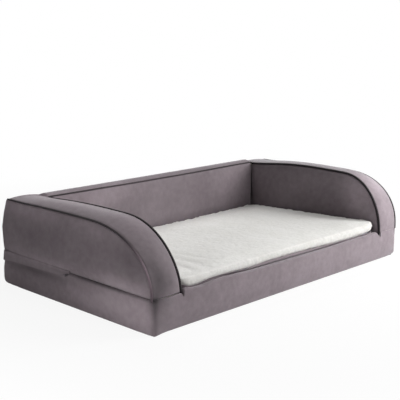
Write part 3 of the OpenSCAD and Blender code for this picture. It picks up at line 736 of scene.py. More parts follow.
# The piping takes painted highlights
PIPING = plain_cloth("piping_velvet", PIPING_BLACK, 1500, 0.1 * MM, 0.6, True)
SHERPA = sherpa_material()
LINING = plain_cloth("lining_weave", LINING_BLACK, 1200, 0.2 * MM)
FOAM = plain_cloth("foam_cells", FOAM_CREAM, 700, 0.8 * MM)
SOFT_FOAM = plain_cloth("soft_foam_cells", SOFT_FOAM_BLUE, 700, 0.8 * MM)
ZIP_TAPE = plain_cloth("zip_tape_weave", ZIP_TAPE_BLACK, 2200, 0.1 * MM)
ZIP_TEETH = plain_cloth("zip_teeth_nylon", ZIP_NYLON, 400, 0.05 * MM, 0.45)
ZIP_METAL = metal_material()

# Arms


def arm_seam(side, edge):
    """Seam line of an arm in the YZ plane, from its rear over the top and down the front, and the
    outward direction at each of its points."""
    flat_l, rise, foot, drop, bow = ARM_SEAMS[side, edge]
    centre = HALF_D - flat_l
    turn = np.linspace(np.pi / 2, 0, SEAM_TOP_POINTS)[1:]
    top_y = np.linspace(HALF_D, centre, SEAM_TOP_POINTS)
    y = np.concatenate([top_y, centre - (centre + HALF_D - foot) * np.cos(turn)])
    over = TOP_H + rise - SEAM_H
    z = SEAM_H + over * np.concatenate([np.ones(SEAM_TOP_POINTS), np.sin(turn) ** bow])
    z -= drop * np.exp(-((HALF_D - y) / SEAM_DROP_W) ** 2)
    raw = np.stack([y, z], -1)
    length = along(raw)
    fine = np.linspace(0, length[-1], SEAM_EVEN_POINTS)
    even = np.stack([np.interp(fine, length, raw[:, k]) for k in (0, 1)], -1)
    kernel = np.hanning(2 * SEAM_SOFTEN + 1)
    kernel /= kernel.sum()
    for k in (0, 1):
        before = 2 * even[0, k] - even[SEAM_SOFTEN:0:-1, k]
        beyond = 2 * even[-1, k] - even[-2:-SEAM_SOFTEN - 2:-1, k]
        even[:, k] = np.convolve(np.concatenate([before, even[:, k], beyond]), kernel, "valid")
    places = spaced(SEAM_PLACES_L) / SEAM_PLACES_L * length[-1]
    line = np.stack([np.interp(places, fine, even[:, k]) for k in (0, 1)], -1)
    tangent = np.gradient(line, places, axis=0)
    tangent /= np.linalg.norm(tangent, axis=1)[:, None]
    return line, np.stack([tangent[:, 1], -tangent[:, 0]], -1)


def arm_lean(side, y, z):
    """How far the inner side of an arm leans inward at each point."""
    upward = LEAN_LOW_SHARE + (1 - LEAN_LOW_SHARE) * (z - LEAN_LOW_H) / LEAN_RISE
    return ARM_LEAN[side] * smooth((y - LEAN_FRONT_Y) / LEAN_RUN) * np.clip(upward, 0, 1)


def front_dip(x):
    """Dip of the front seam at each place along it, 1 in the notch at the end of an inner piping."""
    past = np.abs(x) - INNER_X
    inside_w = np.where(x < 0, NOTCH_IN_W[-1], NOTCH_IN_W[1])
    toward_arm = np.exp(-(past / NOTCH_OUT_W) ** 2)
    return np.where(past > 0, toward_arm, np.clip(1 + past / inside_w, 0, 1))


def front_seam_h(x):
    """Height of the front seam at each place along it."""
    return SEAM_H - np.where(x < 0, NOTCH_DEPTH[-1], NOTCH_DEPTH[1]) * front_dip(x) - np.interp(x, *SEAM_SAG)


def arm_front_rise(x):
    """Crown that an arm's front shares with the border below it."""
    across = (np.abs(x) - INNER_X - CORD_INSET["inner"]) / (ARM_W - CORD_INSET["inner"] - CORD_INSET["outer"])
    return np.where(x < 0, BAND_CROWN[-1], BAND_CROWN[1]) * BAND_FRONT_SHARE * arch(across, 1)


def arm_band(side, name):
    """Band over the top and down the front of an arm, between its two seam lines."""
    inner, inner_out = arm_seam(side, "inner")
    outer, outer_out = arm_seam(side, "outer")
    across = spaced(ARM_W - CORD_INSET["inner"] - CORD_INSET["outer"])
    share = ((CORD_INSET["inner"] + across) / ARM_W)[None, :, None]
    line = (1 - share) * inner[:, None] + share * outer[:, None]
    outs = (1 - share) * inner_out[:, None] + share * outer_out[:, None]
    inner_x = INNER_X - arm_lean(side, inner[:, 0], inner[:, 1])
    x = (1 - share[..., 0]) * inner_x[:, None] + share[..., 0] * HALF_L
    points = np.concatenate([side * x[..., None], line], -1)
    edge = np.minimum(across, across[-1] - across)[None, :]
    travel = along(inner)
    rear, front = travel[:, None], (travel[-1] - travel)[:, None]
    to_front = BAND_FRONT_SHARE + (1 - BAND_FRONT_SHARE) * swell(front, BAND_FRONT_RUN, 1)
    to_rear = BAND_REAR_SHARE + (1 - BAND_REAR_SHARE) * swell(rear, BAND_REAR_RUN, 1)
    rise = BAND_CROWN[side] * arch(across / across[-1], 0.9)[None, :] * to_front * to_rear
    at_back = smooth((HALF_D - BACK_Y - rear) / (6 * MM) + 0.5) * (across < ARM_W / 2)[None, :]
    rise += wrinkles(points, np.minimum(edge, rear), 20 + side)
    rise -= CORD_DEPTH * tuck(edge) * (1 - BAND_BESIDE_BACK * at_back)
    rise -= BAND_FRONT_TUCK[side] * tuck(front, 4 * MM)
    points[..., 1:] += rise[..., None] * outs
    bulge = (1 - smooth(rear / BAND_BULGE_RUN)) * arch(across / across[-1])[None, :]
    points[..., 1] += BAND_REAR_BULGE * bulge
    low_part = np.clip(1 - (line[..., 1] - SEAM_H) / BAND_FOOT_RUN, 0, 1)
    points[..., 2] -= low_part * (SEAM_H - front_seam_h(side * x))
    return dress(cloth_panel(name, [points], (0, -1, 2), VELVET), [name])


def arm_side_grid(side, edge, rear_y, foot):
    """Places in Y and Z over a side of an arm under its seam line, and their distance from that line."""
    line, outs = arm_seam(side, edge)
    line = line - CORD_INSET[edge] * outs
    keep = (line[:, 0] < rear_y - 1 * MM) & (line[:, 1] > SEAM_H + 2 * MM)
    top = np.concatenate([[[rear_y, line[0, 1]]], line[keep]])
    share = spaced(TOP_H - SEAM_H, 5 * MM) / (TOP_H - SEAM_H)
    y = np.repeat(top[:, :1], len(share), axis=1)
    foot_h = foot(y)
    height = foot_h + share[None, :] * (top[:, 1:] - foot_h)
    return y, height, distance_to(top, np.stack([y, height], -1))


def over_zip(y, run):
    """1 along the zip and 0 in front of it."""
    return smooth((y - ZIP_FRONT_Y) / run + 0.4)


def outer_foot_h(y):
    """Height of an arm's outer panel's lower seam, which lies higher over the zip."""
    return SEAM_H + (ZIP_HIGH_H - SEAM_H) * over_zip(y, 8 * MM)


def arm_outer_panel(side, name):
    """Crowned outer side of an arm, with a swollen rear corner and the zip's seam at its foot."""
    y, height, from_top = arm_side_grid(side, "outer", HALF_D, outer_foot_h)
    on_zip = over_zip(y, 8 * MM)
    from_rear, from_foot = HALF_D - y, height - outer_foot_h(y)
    points = np.stack([np.zeros_like(y), y, height], -1)
    foot_share = 0.5 * on_zip + (1 - 0.5 * on_zip) * swell(from_foot, OUTER_FOOT_RUN, 0.7)
    beside = smooth(from_rear / CORNER_RUN)
    corner = np.interp(height, *ARM_CORNER) * (1 - beside)
    rise = OUTER_CROWN * swell(from_top, CROWN_RUN, 0.8) * foot_share * beside + corner
    seam = np.minimum(from_top, np.minimum(from_rear, from_foot))
    rise += wrinkles(points, seam, 31 + side) - CORD_DEPTH * tuck(from_top)
    rise -= SEAM_DEPTH * tuck(from_foot, SEAM_W) * (1 - on_zip)
    points[..., 0] = side * (HALF_L + rise)
    points[..., 1] += corner
    return dress(cloth_panel(name, [points], (side, 0, 0), VELVET), [name])


def fan_folds(y, height, from_top):
    """Soft folds that fan out under the rounded front of an arm."""
    turn = np.arctan2(height - FAN_H, FAN_Y - y)
    folds = FAN_FOLD * np.sin(FAN_FOLDS * turn) * arch(from_top / FAN_REACH)
    return folds * smooth((1.9 - turn) / 0.4) * smooth(turn / 0.2)


def arm_inner_panel(side, name):
    """Inner side of an arm, which leans over the mattress."""
    y, height, from_top = arm_side_grid(side, "inner", BACK_Y + PANEL_T, lambda y: np.full_like(y, DECK_H))
    from_rear, from_foot = np.maximum(BACK_Y - y, 0), np.maximum(height - SEAM_H, 0)
    points = np.stack([np.zeros_like(y), y, height], -1)
    rise = INNER_CROWN[side] * swell(from_top, CROWN_RUN, 0.9) * swell(from_rear, INNER_REAR_RUN, 0.6)
    rise *= swell(from_foot, INNER_FOOT_RUN, INNER_FOOT_POWER[side])
    rise += fan_folds(y, height, from_top)
    rise += wrinkles(points, np.minimum(from_top, from_rear), 30 + side) - CORD_DEPTH * tuck(from_top)
    points[..., 0] = side * (INNER_X - rise - arm_lean(side, y, height))
    return dress(cloth_panel(name, [points], (-side, 0, 0), VELVET), [name])


def arm_piping(side, edge, name):
    """Cord in a seam of an arm, which dives under the cloth at its ends."""
    line, outs = arm_seam(side, edge)
    if edge == "outer":
        x = np.full(len(line), side * (HALF_L - CORD_IN))
    else:
        x = side * (INNER_X + CORD_IN - arm_lean(side, line[:, 0], line[:, 1]))
    path = np.column_stack([x, line - CORD_IN * outs])
    if edge == "outer":
        path[0, 1] += 2 * MM
        end = [side * (HALF_L - CORD_IN - CORD_PAST), path[-1, 1] + CORD_PAST, SEAM_H - CORD_DIVE]
    else:
        path = path[line[:, 0] < BACK_Y + 5 * MM]
        path[:, 2] -= 2.5 * MM * smooth((path[:, 1] - BACK_Y + 6 * MM) / (10 * MM))
        notch_h = SEAM_H - NOTCH_DEPTH[side]
        end = [side * (INNER_X + CORD_IN - CORD_DIVE), path[-1, 1] + CORD_PAST, notch_h - CORD_PAST]
    return dress(tube(name, np.vstack([path, end]), CORD_R[edge], PIPING), [name])


def arm_filling(side, name):
    """Foam of an arm, cut to the lines of its cover."""
    base = low(name).z
    rows = []
    for edge, x in (("inner", INNER_X + PANEL_T), ("outer", HALF_L - PANEL_T)):
        line, outs = arm_seam(side, edge)
        line = line - PANEL_T * outs
        line[0, 0] = HALF_D - PANEL_T
        top = line[line[:, 1] > SEAM_H]
        places = np.linspace(0, len(top) - 1, 60)
        top = np.stack([np.interp(places, np.arange(len(top)), top[:, k]) for k in (0, 1)], -1)
        rows.append([(side * x, y, z) for y, z in top])
        rows.append([(side * x, y, base) for y, _ in top])
    rows = np.array([rows[1], rows[0], rows[2], rows[3]]).transpose(1, 0, 2)
    return block(name + "_block", rows, name)


# Base and back


def base_corner(sx, sy, z):
    """How far a corner of the base stands out of its planes in X and in Y at each height."""
    foot = FOOT_R[sx, sy] * tuck(z, FOOT_R[sx, sy])
    if sy > 0:
        out = np.interp(z, *BASE_CORNER) - foot
        return out, out
    down = 1 - z / SEAM_H
    return tuple(at_seam + at_floor * down - foot for at_seam, at_floor in FRONT_CORNER[sx])


def base_face(half, places, heights, full, crown, corners, axis, top_rise=None, top_tuck=0.0):
    """Face of a base border with its crown: places along it and out of its plane."""
    s = np.repeat(places[:, None], heights.shape[1], 1)
    from_end = half - np.abs(s)
    top = heights[:, -1:]
    share = heights / full
    rise = crown * swell(from_end, CROWN_RUN) * arch(share)
    if top_rise is not None:
        rise += top_rise[:, None] * smooth(2 * share - 1)
    upward = smooth(heights / SEAM_H)
    groove = CORNER_SEAM * (CORNER_SEAM_LOW_SHARE + (1 - CORNER_SEAM_LOW_SHARE) * upward)
    shift = np.zeros_like(s)
    for end, corner in zip((-1, 1), corners):
        moves = base_corner(*corner, heights)
        at_end = np.sign(s) == end
        near = (1 - smooth(from_end / BASE_CORNER_RUN)) * at_end
        seam = groove * tuck(from_end, CORNER_SEAM_W) * at_end
        shift += end * near * moves[1 - axis]
        rise += near * moves[axis] - seam
    rise -= FLOOR_R * tuck(heights, FLOOR_R) * smooth(from_end / FLOOR_RUN)
    rise -= top_tuck * tuck(top - heights, SEAM_W)
    return s + shift, rise


def front_places():
    """Places along the front, closer together at the notches of the inner pipings."""
    near = np.concatenate([np.linspace(-30, -6, 9), np.linspace(-5, 12, 18)]) * MM
    x = np.concatenate([spaced(2 * HALF_L) - HALF_L, INNER_X + near, -INNER_X - near])
    return np.unique(np.round(x, 6))


def front_face(x):
    """Grid of the front border, from the floor to its seam."""
    share = spaced(SEAM_H, STEP, (True, False)) / SEAM_H
    heights = share[None, :] * front_seam_h(x)[:, None]
    inside = INNER_X - np.abs(x)
    foot = np.where(x < 0, ARM_SEAMS[-1, "outer"][2], ARM_SEAMS[1, "outer"][2])
    under_arm = arm_front_rise(x) - 0.6 * foot * smooth(-inside / 0.02)
    rise_at_top = np.where(inside > 0, LIP_SWELL * smooth(inside / 0.05), under_arm)
    s, rise = base_face(HALF_L, x, heights, SEAM_H, FRONT_CROWN, ((-1, -1), (1, -1)), 1, rise_at_top)
    face = np.stack([s, -HALF_D - rise, heights], -1)
    face[..., 1] -= wrinkles(face, np.minimum(HALF_L - np.abs(s), heights), 40, 0.8)
    return face


def lip_roll(start):
    """Grid of the cloth that rolls over the lip from the front's seam and lines the lip's rear."""
    free = 1 - front_dip(start[:, 0])
    radius = (LIP_Y - start[:, 1]) / 2
    turn = np.linspace(0, np.pi, 13)
    y = start[:, 1:2] + radius[:, None] * (1 - np.cos(turn))[None, :]
    line = np.interp(start[:, 0], *LIP_LINE) + 0.6 * MM * soft_noise(start * [1, 0, 0], 0.05, 44)
    lowest = SEAM_H + LIP_START
    roll = np.maximum(LIP_LEAST, lowest + free * (line - lowest) - start[:, 2])
    roll = np.where(free > 0.98, roll, np.minimum(roll, LIP_START + free * LIP_NOTCH_RISE))
    z = start[:, 2:] + roll[:, None] * np.sin(turn)[None, :]
    down = np.linspace(0, 1, 9)[1:]
    y = np.concatenate([y, np.full((len(start), len(down)), LIP_Y)], 1)
    z = np.concatenate([z, z[:, -1:] + down[None, :] * (DECK_H - z[:, -1:])], 1)
    return np.stack([np.repeat(start[:, :1], y.shape[1], 1), y, z], -1)


def front_cover():
    """Front border with the lip that rolls over its top and lines the rear of the lip."""
    x = front_places()
    face = front_face(x)
    lip = lip_roll(face[np.abs(x) <= INNER_X - 1 * MM, -1])
    piece = cloth_panel("front_border", [face, lip], (0, -1, 0), VELVET, LIP_WALL)
    return dress(piece, ["front_border", "lip_roll", "lip_lining"])


def lip_filling():
    """Foam of the lip, cut to the line of its cover."""
    x = np.linspace(-INNER_X + 8 * MM, INNER_X - 8 * MM, 120)
    top = np.minimum(front_seam_h(x) - 3 * MM, SEAM_H - 5 * MM)
    front, rear, base = low("lip_foam").y, high("lip_foam").y, low("lip_foam").z
    rows = np.array([[(x[i], front, base), (x[i], front, top[i]), (x[i], rear, top[i]), (x[i], rear, base)]
                     for i in range(len(x))])
    return block("lip_foam_block", rows, "lip_foam")


def side_border(side, name):
    """Side of the base under an arm, with the zip's seam at its top."""
    y = spaced(2 * HALF_D) - HALF_D
    on_zip = over_zip(y, 6 * MM)
    top = SEAM_H + (ZIP_LOW_H - SEAM_H) * on_zip
    share = spaced(SEAM_H) / SEAM_H
    heights = share[None, :] * top[:, None]
    corners = ((side, -1), (side, 1))
    s, rise = base_face(HALF_D, y, heights, top[:, None], SIDE_CROWN, corners, 0, None, SEAM_DEPTH)
    points = np.stack([side * (HALF_L + rise), s, heights], -1)
    points[..., 0] += side * wrinkles(points, np.minimum(HALF_D - np.abs(s), heights), 50 + side, 0.6)
    # The cloth stays flat where the zip's pull hangs over it
    beside_pull = 1 - smooth((s - ZIP_REAR_Y) / (10 * MM))
    flat = smooth((heights - PULL_FLAT_H) / (8 * MM)) * on_zip[:, None] * beside_pull
    points[..., 0] -= side * flat * np.maximum(side * points[..., 0] - HALF_L, 0)
    return dress(cloth_panel(name, [points], (side, 0, 0), VELVET), [name])


def back_border():
    """Rear of the base, up to the zip."""
    x = spaced(2 * HALF_L) - HALF_L
    share = spaced(ZIP_LOW_H) / ZIP_LOW_H
    heights = np.repeat((share * ZIP_LOW_H)[None, :], len(x), 0)
    s, rise = base_face(HALF_L, x, heights, ZIP_LOW_H, BACK_CROWN, ((-1, 1), (1, 1)), 1, None, SEAM_DEPTH)
    points = np.stack([s, HALF_D + rise, heights], -1)
    points[..., 1] += wrinkles(points, np.minimum(HALF_L - np.abs(s), heights), 60)
    return dress(cloth_panel("back_border", [points], (0, 1, 0), VELVET), ["back_border"])


def back_top_h(x):
    """Height of the seam along the top of the back, which rises a little to the right."""
    return TOP_H - BACK_LOW + BACK_TILT * (x + INNER_X) / (2 * INNER_X)


def back_line_h(x, y):
    """Height of the back's top, which meets the arms' seams at its ends."""
    height = back_top_h(x)
    for side in (-1, 1):
        line, _ = arm_seam(side, "inner")
        beside = np.interp(y, line[::-1, 0], line[::-1, 1])
        height = height + (1 - smooth(np.abs(x - back_end_x(side)) / BACK_MEET)) * (beside - height)
    return height


def back_sag(x):
    """Sag of the piped edge between the arms."""
    return BACK_SAG * arch((x + INNER_X) / (2 * INNER_X), 1)


def back_outer():
    """Outer side of the back, which runs on behind the arms, with swollen corners."""
    x = spaced(2 * HALF_L) - HALF_L
    top = back_top_h(np.clip(x, -INNER_X, INNER_X))
    for side in (-1, 1):
        _, rise, _, drop, _ = ARM_SEAMS[side, "outer"]
        arm_top = TOP_H + rise - drop - BACK_LOW + 5 * MM * arch((side * x - INNER_X) / ARM_W, 1)
        top = np.where(side * x > INNER_X, arm_top, top)
    share = spaced(TOP_H - ZIP_HIGH_H) / (TOP_H - ZIP_HIGH_H)
    height = ZIP_HIGH_H + share[None, :] * (top - ZIP_HIGH_H)[:, None]
    s = np.repeat(x[:, None], len(share), 1)
    from_end, from_top, from_foot = HALF_L - np.abs(s), top[:, None] - height, height - ZIP_HIGH_H
    beside = smooth(from_end / CORNER_RUN)
    corner = np.interp(height, *ARM_CORNER) * (1 - beside)
    rise = BACK_CROWN * swell(from_top, BACK_RUN) * (0.6 + 0.4 * swell(from_foot, BACK_RUN)) * beside
    rise += corner - 2 * MM * tuck(from_top)
    points = np.stack([s + np.sign(s) * corner, HALF_D + rise, height], -1)
    points[..., 1] += wrinkles(points, np.minimum(from_end, np.minimum(from_top, from_foot)), 70)
    return dress(cloth_panel("back_outer_panel", [points], (0, 1, 0), VELVET), ["back_outer_panel"])


def back_inner():
    """Inner side of the back, which turns in beside the arms."""
    x = spaced(2 * INNER_X) - INNER_X
    share = spaced(TOP_H - DECK_H) / (TOP_H - DECK_H)
    top = back_line_h(x, BACK_Y) - back_sag(x) - CORD_INSET["back"]
    height = DECK_H + share[None, :] * (top - DECK_H)[:, None]
    s = np.repeat(x[:, None], len(share), 1)
    ends = {side: INNER_X - arm_lean(side, np.full_like(s, BACK_Y), height) for side in (-1, 1)}
    from_end = np.minimum(ends[1] - s, ends[-1] + s)
    from_top = height[:, -1:] - height
    rise = INNER_CROWN[-1] * swell(from_end, CROWN_RUN) * swell(from_top, BACK_INNER_RUN)
    rise *= smooth((height - SEAM_H + 0.02) / 0.05)
    rise -= CORD_DEPTH * tuck(from_top) + BACK_END_DEPTH * tuck(np.maximum(from_end, 0), BACK_END_W)
    points = np.stack([s, BACK_Y - rise, height], -1)
    points[..., 1] -= wrinkles(points, np.minimum(np.maximum(from_end, 0), from_top), 80)
    piece = cloth_panel("back_inner_panel", [points], (0, -1, 0), VELVET)
    return dress(piece, ["back_inner_panel"])


def back_end_x(side):
    """Where the back's top meets an arm."""
    return side * (INNER_X + CORD_INSET["inner"] + 0.5 * MM - arm_lean(side, HALF_D, TOP_H))


def back_band():
    """Narrow band along the back's top, level with the arms' seams at its ends."""
    left, right = back_end_x(-1), back_end_x(1)
    x = left + spaced(right - left)
    y = BACK_Y + CORD_INSET["back"] + spaced(HALF_D - BACK_Y - CORD_INSET["back"], 4 * MM)
    s, deep = np.meshgrid(x, y, indexing="ij")
    share = (deep - y[0]) / (y[-1] - y[0])
    from_end = np.minimum(right - s, s - left)
    rise = BACK_BAND_CROWN * arch(share, 0.8) * smooth(from_end / (12 * MM))
    rise -= CORD_DEPTH * tuck(deep - y[0]) + 2 * MM * tuck(y[-1] - deep) + 0.3 * MM * tuck(from_end)
    points = np.stack([s, deep, back_line_h(s, deep) - back_sag(s) * (1 - share) + rise], -1)
    points[..., 2] += wrinkles(points, np.minimum(from_end, np.minimum(deep - y[0], y[-1] - deep)), 90)
    return dress(cloth_panel("back_top_band", [points], (0, 0, 1), VELVET), ["back_top_band"])


def back_piping():
    """Cord along the back's inner top edge, between the arms."""
    x = np.linspace(back_end_x(-1) + 6 * MM, back_end_x(1) - 6 * MM, 161)
    none = np.zeros_like(x)
    sway = 0.5 * MM * soft_noise(np.column_stack([x, none, none]), 0.09, 95)
    height = back_line_h(x, BACK_Y) - back_sag(x) - CORD_IN + sway
    path = np.column_stack([x, none + BACK_Y + CORD_IN, height])
    return dress(tube("back_piping", path, CORD_R["back"], PIPING), ["back_piping"])


def deck_panel():
    """Cloth on the foam under the mattress, with hollows that only go down from its top."""
    x = spaced(2 * INNER_X, LEVEL_STEP) - INNER_X
    y = LIP_Y + spaced(BACK_Y - LIP_Y, LEVEL_STEP)
    s, deep = np.meshgrid(x, y, indexing="ij")
    points = np.stack([s, deep, np.full_like(s, DECK_H)], -1)
    points[..., 2] -= DECK_SAG * (0.5 + 0.5 * soft_noise(points, 0.08, 10))
    piece = cloth_panel("deck_panel", [points], (0, 0, 1), LINING, 2 * MM)
    dress(piece, ["deck_panel"])


def level_cloth(name, ring, low_h, high_h):
    """Closed flat cloth inside a ring of points in plan."""
    n = len(ring)
    points = np.concatenate([np.column_stack([ring, np.full(n, z)]) for z in (low_h, high_h)])
    faces = [list(range(n))[::-1], list(range(n, 2 * n))]
    faces += [[k, (k + 1) % n, n + (k + 1) % n, n + k] for k in range(n)]
    piece = make_piece(name, points, faces, points[:, :2])
    weld(piece)
    finish_surface(piece, LINING, 30)
    return piece


def underside_panel():
    """Bottom cloth with rounded corners, flat on the floor."""
    corner = UNDERSIDE_CORNER_R
    half_x, half_y = HALF_L - FLOOR_R, HALF_D - FLOOR_R
    ring = []
    for quarter, (sx, sy) in enumerate(QUARTERS):
        turn = np.linspace(0, np.pi / 2, 9) + quarter * np.pi / 2
        ring.append(np.column_stack([sx * (half_x - corner) + corner * np.cos(turn),
                                     sy * (half_y - corner) + corner * np.sin(turn)]))
    piece = level_cloth("underside_panel", np.concatenate(ring), 0, UNDERSIDE_T)
    return dress(piece, ["underside_panel"])


def mattress_underside():
    """Bottom cloth of the mattress, drawn in with its sides."""
    inset = 1.5 * MM
    ring = drawn_in(mattress_outline(inset, 8 * MM)[0])
    lowest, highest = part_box("mattress_underside")
    piece = level_cloth("mattress_bottom_cloth", ring, lowest.z, highest.z)
    return dress(piece, ["mattress_underside"], "mattress")


# Zip and its flap

# Distance from tooth to tooth, a tooth's size along and across the zip, and points along a row's line
TOOTH_PITCH = 1.6 * MM
TOOTH_ALONG = 1.05 * MM
TOOTH_ACROSS = 1.8 * MM
ZIP_POINTS = 900
# The flap starts a little in front of the zip
FLAP_FRONT_Y = ZIP_FRONT_Y - 14 * MM
# Height of the flap's lower edge by the distance from its front end
FLAP_EDGE = ([0, 0.004, 0.012, 0.022, 0.034, 0.07, 0.15, 0.27],
             [0.0965, 0.0945, 0.0915, 0.089, 0.0845, 0.0805, 0.078, 0.074])
# How far the flap stands out at the sofa's rear corners, and over what length
FLAP_FULL = 7 * MM
FLAP_FULL_RUN = 0.03
FLAP_WALL = 1.3 * MM


def zip_lengths(front_y, reach):
    """Lengths of the zip's run: along a side, round a corner, and in all."""
    side_run, quarter = HALF_D - PANEL_T - front_y, reach * np.pi / 2
    return side_run, quarter, 2 * (side_run + quarter + HALF_L - PANEL_T)


def zip_route(travel, front_y, reach):
    """Points on the foam's edge and outward directions at each distance along the zip's run."""
    foam_x, foam_y = HALF_L - PANEL_T, HALF_D - PANEL_T
    side_run, quarter, total = zip_lengths(front_y, reach)
    base, heading = [], []
    for t in travel:
        past, ahead = t - side_run, total - side_run - t
        if past <= 0:
            base.append((-foam_x, front_y + t))
            heading.append(np.pi)
        elif past <= quarter:
            base.append((-foam_x, foam_y))
            heading.append(np.pi - past / reach)
        elif ahead >= quarter:
            base.append((past - quarter - foam_x, foam_y))
            heading.append(np.pi / 2)
        elif ahead > 0:
            base.append((foam_x, foam_y))
            heading.append(ahead / reach)
        else:
            base.append((foam_x, foam_y + ahead))
            heading.append(0.0)
    return np.array(base), np.column_stack([np.cos(heading), np.sin(heading)])


def tooth_row_tree():
    """Sets a row of closed teeth along a line, at an even pitch."""
    tree = bpy.data.node_groups.new("zip_tooth_row", "GeometryNodeTree")
    tree.interface.new_socket("Line", in_out="INPUT", socket_type="NodeSocketGeometry")
    for name in ("Pitch", "Across", "Along", "Height"):
        tree.interface.new_socket(name, in_out="INPUT", socket_type="NodeSocketFloat")
    tree.interface.new_socket("Material", in_out="INPUT", socket_type="NodeSocketMaterial")
    tree.interface.new_socket("Teeth", in_out="OUTPUT", socket_type="NodeSocketGeometry")
    given, made = tree.nodes.new("NodeGroupInput"), tree.nodes.new("NodeGroupOutput")
    curve = tree.nodes.new("GeometryNodeMeshToCurve")
    even = tree.nodes.new("GeometryNodeResampleCurve")
    even.mode = "LENGTH"
    tooth = tree.nodes.new("GeometryNodeMeshCylinder")
    tooth.inputs["Vertices"].default_value = 8
    tooth.inputs["Radius"].default_value = 0.5
    tooth.inputs["Depth"].default_value = 1.0
    size = tree.nodes.new("ShaderNodeCombineXYZ")
    turn = tree.nodes.new("FunctionNodeAlignRotationToVector")
    turn.axis, turn.pivot_axis = "Y", "Z"
    copies = tree.nodes.new("GeometryNodeInstanceOnPoints")
    real = tree.nodes.new("GeometryNodeRealizeInstances")
    painted = tree.nodes.new("GeometryNodeSetMaterial")
    heading = tree.nodes.new("GeometryNodeInputTangent")
    for out, into in (
        (given.outputs["Line"], curve.inputs["Mesh"]),
        (curve.outputs["Curve"], even.inputs["Curve"]),
        (given.outputs["Pitch"], even.inputs["Length"]),
        (given.outputs["Across"], size.inputs["X"]),
        (given.outputs["Along"], size.inputs["Y"]),
        (given.outputs["Height"], size.inputs["Z"]),
        (heading.outputs["Tangent"], turn.inputs["Vector"]),
        (even.outputs["Curve"], copies.inputs["Points"]),
        (tooth.outputs["Mesh"], copies.inputs["Instance"]),
        (turn.outputs["Rotation"], copies.inputs["Rotation"]),
        (size.outputs["Vector"], copies.inputs["Scale"]),
        (copies.outputs["Instances"], real.inputs["Geometry"]),
        (real.outputs["Geometry"], painted.inputs["Geometry"]),
        (given.outputs["Material"], painted.inputs["Material"]),
        (painted.outputs["Geometry"], made.inputs["Teeth"]),
    ):
        tree.links.new(out, into)
    return tree


def tooth_row(name, node, tree):
    """Row of zip teeth in the place of one of the zip's plain rows."""
    lowest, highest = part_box(node)
    reach = PANEL_T - HALF_L - lowest.x - TOOTH_ACROSS / 2
    front_y = lowest.y + TOOTH_ALONG
    total = zip_lengths(front_y, reach)[2]
    base, out = zip_route(np.linspace(0, total, ZIP_POINTS), front_y, reach)
    points = np.column_stack([base + reach * out, np.full(ZIP_POINTS, (lowest.z + highest.z) / 2)])
    mesh = bpy.data.meshes.new(name)
    mesh.from_pydata(points.tolist(), [(k, k + 1) for k in range(ZIP_POINTS - 1)], [])
    row = bpy.data.objects.new(name, mesh)
    bpy.context.scene.collection.objects.link(row)
    teeth = row.modifiers.new("teeth", "NODES")
    teeth.node_group = tree
    sizes = {"Pitch": TOOTH_PITCH, "Across": TOOTH_ACROSS, "Along": TOOTH_ALONG,
             "Height": highest.z - lowest.z, "Material": ZIP_TEETH}
    for item in tree.interface.items_tree:
        if item.in_out == "INPUT" and item.name in sizes:
            teeth[item.identifier] = sizes[item.name]
    settle(row)
    finish_surface(row, ZIP_TEETH, 35)
    return dress(row, [node])


def zip_flap():
    """Flap that hangs over the zip from the seam above it, round the rear of the sofa."""
    reach = FLAP_X - HALF_L + PANEL_T
    side_run, quarter, total = zip_lengths(FLAP_FRONT_Y, reach)
    bends = [np.linspace(first, first + quarter, 9) for first in (side_run, total - side_run - quarter)]
    travel = np.unique(np.round(np.concatenate([spaced(total, 8 * MM), *bends]), 6))
    base, out = zip_route(travel, FLAP_FRONT_Y, reach)
    # The sewn top runs out of the seam, and from there the cloth hangs to its lower edge
    sewn_out = np.array([PANEL_T - 3 * MM, PANEL_T + 1 * MM, reach - 0.9 * MM, reach - 0.3 * MM])
    sewn_h = ZIP_HIGH_H - np.array([0.0, 0.1, 0.3, 0.9]) * MM
    hang = np.linspace(0, 1, 6)[None, 1:]
    lower = np.interp(np.minimum(travel, total - travel), *FLAP_EDGE)[:, None]
    none = np.zeros_like(travel)
    wave = soft_noise(np.column_stack([travel, none, none]), 0.05, 120)[:, None]
    hanging_out = reach + (1.2 + 0.6 * wave) * MM * hang
    hanging_h = sewn_h[-1] - hang * np.maximum(sewn_h[-1] - lower, 1 * MM)
    out_by = np.hstack([np.tile(sewn_out, (len(travel), 1)), hanging_out])
    heights = np.hstack([np.tile(sewn_h, (len(travel), 1)), hanging_h])
    middle = side_run + quarter / 2
    from_corner = np.minimum(np.abs(travel - middle), np.abs(total - travel - middle))
    out_by += FLAP_FULL * np.exp(-(from_corner / FLAP_FULL_RUN) ** 2)[:, None]
    points = np.concatenate([base[:, None] + out_by[..., None] * out[:, None], heights[..., None]], -1)
    piece = cloth_panel("zip_flap", [points], (0, 1, 0), VELVET, FLAP_WALL)
    return dress(piece, ["zip_flap"])


# Mattress

MATTRESS_CORNER_R = 32 * MM
# How far its sides are drawn in midway
MATTRESS_DRAW = 3.5 * MM
# How far its front right corner is pushed to the arm, and from where in X and Y over what run
CORNER_PUSH = 5 * MM
PUSH_X = 0.38
PUSH_X_RUN = 0.09
PUSH_Y = 0.08
PUSH_Y_RUN = 0.16
# The sherpa's rolled edge: how far it stands out, half its thickness at the rear and at the front, and
# how much that gains at the rear right
SHERPA_EDGE_R = 8.5 * MM
SHERPA_REAR_R = 6 * MM
SHERPA_FRONT_R = 9.5 * MM
SHERPA_RIGHT_FULL = 2.2 * MM
# How far the hem hangs at the rear, how high the top swells, and how much and over what run it gains
# at the front and at the right; and the spacing of the sherpa's points
SHERPA_LAP = 1 * MM
SHERPA_CROWN = 8 * MM
SHERPA_SHOULDER = 5 * MM
SHOULDER_RUN = 0.045
SHERPA_STEP = 3 * MM
